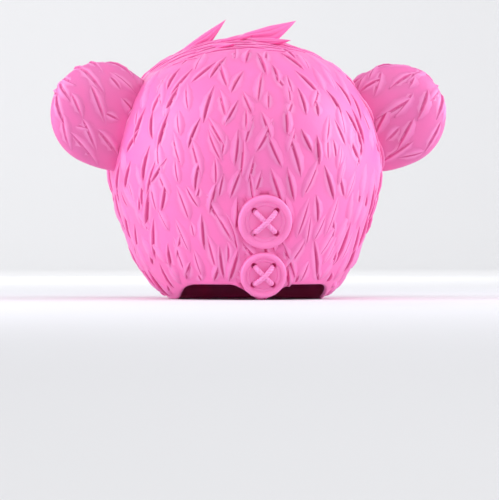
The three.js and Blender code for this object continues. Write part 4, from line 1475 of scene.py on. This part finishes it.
def cord_tree():
    """Geometry Nodes that lay twisted strands along a line."""
    sizes = {"Cord radius": "Float", "Twists per metre": "Float", "Points": "Int"}
    tree, given = new_tree("twisted_cord", {"Line": "Geometry", **sizes, "Finish": "Material"}, "Cord")
    line = node(tree, "GeometryNodeMeshToCurve", -1000, 0, {"Mesh": given["Line"]})
    line = {"Curve": line.outputs["Curve"]}
    smooth = node(tree, "GeometryNodeCurveSplineType", -900, 100, line, spline_type="BEZIER")
    smooth = {"Curve": smooth.outputs["Curve"]}
    eased = node(tree, "GeometryNodeCurveSetHandles", -850, 0, smooth, handle_type="AUTO")
    eased = {"Curve": eased.outputs["Curve"], "Count": given["Points"]}
    even = node(tree, "GeometryNodeResampleCurve", -700, 0, eased)
    walked = node(tree, "GeometryNodeSplineParameter", -700, -250)
    turns = number(tree, "MULTIPLY", walked.outputs["Length"], given["Twists per metre"], -500, -250)
    wind = number(tree, "MULTIPLY", turns, math.tau, -350, -250)
    tangent = node(tree, "GeometryNodeInputTangent", -700, -450)
    normal = node(tree, "GeometryNodeInputNormal", -700, -600)
    joined = node(tree, "GeometryNodeJoinGeometry", 700, 0)
    for strand in range(CORD["strands"]):
        y = -300 * strand
        phase = number(tree, "ADD", wind, strand * math.tau / CORD["strands"], -200, y - 250)
        about = {"Vector": normal.outputs["Normal"], "Axis": tangent.outputs["Tangent"], "Angle": phase}
        aside = node(tree, "ShaderNodeVectorRotate", 0, y - 250, about, rotation_type="AXIS_ANGLE")
        out = number(tree, "MULTIPLY", given["Cord radius"], CORD["strand_off"], 0, y - 100)
        offset = vector(tree, "SCALE", aside.outputs["Vector"], out, 180, y - 250)
        shift = {"Geometry": even.outputs["Curve"], "Offset": offset}
        wound = node(tree, "GeometryNodeSetPosition", 340, y, shift)
        thick = number(tree, "MULTIPLY", given["Cord radius"], CORD["strand_radius"], 0, y - 420)
        ring = {"Resolution": CORD["sides"], "Radius": thick}
        ring = node(tree, "GeometryNodeCurvePrimitiveCircle", 180, y - 420, ring)
        path = {"Curve": wound.outputs["Geometry"], "Profile Curve": ring.outputs["Curve"], "Fill Caps": True}
        tube = node(tree, "GeometryNodeCurveToMesh", 520, y, path)
        feed(tree, joined, {"Geometry": tube.outputs["Mesh"]})
    shade = node(tree, "GeometryNodeSetShadeSmooth", 800, 0, {"Geometry": joined.outputs["Geometry"]})
    end_tree(tree, shade.outputs["Geometry"], given["Finish"], "Cord")
    return tree


def stitch_lines(radius):
    """The two crossed lines that the thread follows, from hole to hole over the button's middle."""
    a, b, c, d = hole_centres(radius)
    over = BUTTON_FLOOR + THREAD_CLEAR + THREAD_RADIUS
    lines = []
    for start, end, rise in ((b, c, THREAD_CROSSES_UNDER), (a, d, THREAD_CROSSES_OVER)):
        reach = np.linalg.norm(end - start) / 2
        ahead = (end - start) / (2 * reach)
        half = THREAD_SHARE * reach
        stops = [
            (-half, BUTTON_FLOOR - THREAD_DIP),
            (-half + THREAD_EDGE[0], BUTTON_FLOOR + THREAD_EDGE[1]),
            (-half + THREAD_SHOULDER[0], over + THREAD_SHOULDER[1]),
            (0.0, over + rise * THREAD_RISE),
        ]
        stops += [(-along, up) for along, up in stops[-2::-1]]
        lines.append([(*(ahead * along), up) for along, up in stops])
    return lines


class MASK_OT_thread(bpy.types.Operator):
    """Builds the crossed stitches of twisted cord in each button"""

    bl_idname = "mask.thread"
    bl_label = "Thread"

    def execute(self, context):
        tree = cord_tree()
        material = latex("thread_latex", context.scene.mask_latex, strands=0.0, pale=0.75)
        sizes = {"Cord radius": THREAD_RADIUS, "Twists per metre": CORD["twists"], "Points": CORD["points"]}
        for name, button in BUTTONS.items():
            vertices, edges = [], []
            for line in stitch_lines(button["radius"]):
                first = len(vertices)
                vertices.extend(line)
                edges.extend((first + at, first + at + 1) for at in range(len(line) - 1))
            mesh = bpy.data.meshes.new(f"cord_{name}")
            spots = set_in_place(placed(vertices, nape_place(button["height"])))
            mesh.from_pydata(spots.tolist(), edges, [])
            cord = bpy.data.objects.new(f"sewn_cord_{name}", mesh)
            context.scene.collection.objects.link(cord)
            add_nodes(cord, "winding", tree, {**sizes, "Finish": material})
            applied(cord)
            finish_piece(cord, material, "thread_latex", f"stitches_{name}")
        return {"FINISHED"}


def backdrop_mesh():
    """A sheet of studio paper that runs over the floor and curves up behind."""
    half, near, far, bend, tall = 6.0, 6.0, -3.6, 1.4, 4.0
    angles = np.linspace(0.0, math.pi / 2, 25)
    profile = [(near, 0.0)]
    profile += [(far - bend * math.sin(a), bend * (1 - math.cos(a))) for a in angles]
    profile.append((far - bend, tall))
    vertices = [(x, y, z) for y, z in profile for x in (-half, half)]
    faces = [(2 * i, 2 * i + 1, 2 * i + 3, 2 * i + 2) for i in range(len(profile) - 1)]
    return vertices, faces


def softbox(name, box, aim, power):
    """A rectangular light that faces its aim."""
    data = bpy.data.lights.new(name, "AREA")
    data.shape = "RECTANGLE"
    data.size, data.size_y = box["size"]
    data.energy = power
    data.color = box["tint"]
    light = bpy.data.objects.new(name, data)
    light.location = box["place"]
    light.rotation_mode = "QUATERNION"
    light.rotation_quaternion = (Vector(aim) - Vector(box["place"])).to_track_quat("-Z", "Y")
    bpy.context.scene.collection.objects.link(light)


class MASK_OT_stage(bpy.types.Operator):
    """Sets the floor, the soft lights and the camera behind the mask"""

    bl_idname = "mask.stage"
    bl_label = "Stage"

    def execute(self, context):
        scene = context.scene
        settings = scene.mask_stage
        vertices, faces = backdrop_mesh()
        paper = make_object("studio_paper", vertices, faces)
        paper.data.materials.append(studio_paper(settings.floor))
        middle = (cad_box[0] + cad_box[1]) / 2
        for name, box in SOFTBOXES.items():
            share = RIGHT_SHARE if name == "softbox_right" else 1.0
            softbox(name, box, SOFTBOX_AIMS.get(name, middle), share * getattr(settings, box["light"]))

        world = bpy.data.worlds.new("studio")
        world.use_nodes = True
        sky = world.node_tree.nodes["Background"]
        sky.inputs["Color"].default_value = (0.96, 0.96, 1.0, 1.0)
        sky.inputs["Strength"].default_value = settings.fill
        scene.world = world
        scene.view_settings.view_transform = "Standard"

        data = bpy.data.cameras.new("camera")
        data.sensor_width = 36.0
        data.lens = data.sensor_width * settings.camera_distance / settings.field_width
        data.clip_end = 50.0
        camera = bpy.data.objects.new("camera", data)
        turn = math.radians(settings.camera_turn)
        back = Vector((math.sin(turn), math.cos(turn), 0.0))
        camera.location = CAMERA_AIM + back * settings.camera_distance
        camera.location.z = settings.camera_height
        camera.rotation_mode = "QUATERNION"
        camera.rotation_quaternion = (CAMERA_AIM - camera.location).to_track_quat("-Z", "Y")
        scene.collection.objects.link(camera)
        scene.camera = camera
        return {"FINISHED"}


class MASK_PT_panel(bpy.types.Panel):
    """Lists the steps that build the mask, with their settings"""

    bl_idname = "MASK_PT_panel"
    bl_label = "Bear mask"
    bl_space_type = "VIEW_3D"
    bl_region_type = "UI"
    bl_category = "Bear mask"

    def draw(self, context):
        layout = self.layout
        for group in (context.scene.mask_fur, context.scene.mask_latex, context.scene.mask_stage):
            box = layout.box()
            for name in group.__annotations__:
                box.prop(group, name)
        for step in STEPS:
            layout.operator(step.bl_idname)


STEPS = (
    MASK_OT_stage,
    MASK_OT_head,
    MASK_OT_ears,
    MASK_OT_tuft,
    MASK_OT_nose,
    MASK_OT_buttons,
    MASK_OT_thread,
)
GROUPS = {"mask_fur": FurSettings, "mask_latex": LatexSettings, "mask_stage": StageSettings}


def register():
    for made in (*GROUPS.values(), *STEPS, MASK_PT_panel):
        bpy.utils.register_class(made)
    for name, group in GROUPS.items():
        setattr(bpy.types.Scene, name, PointerProperty(type=group))


def unregister():
    for name in GROUPS:
        delattr(bpy.types.Scene, name)
    for made in reversed((*GROUPS.values(), *STEPS, MASK_PT_panel)):
        bpy.utils.unregister_class(made)


def main():
    register()
    for step in STEPS:
        family, name = step.bl_idname.split(".")
        getattr(getattr(bpy.ops, family), name)()


if __name__ == "__main__":
    main()
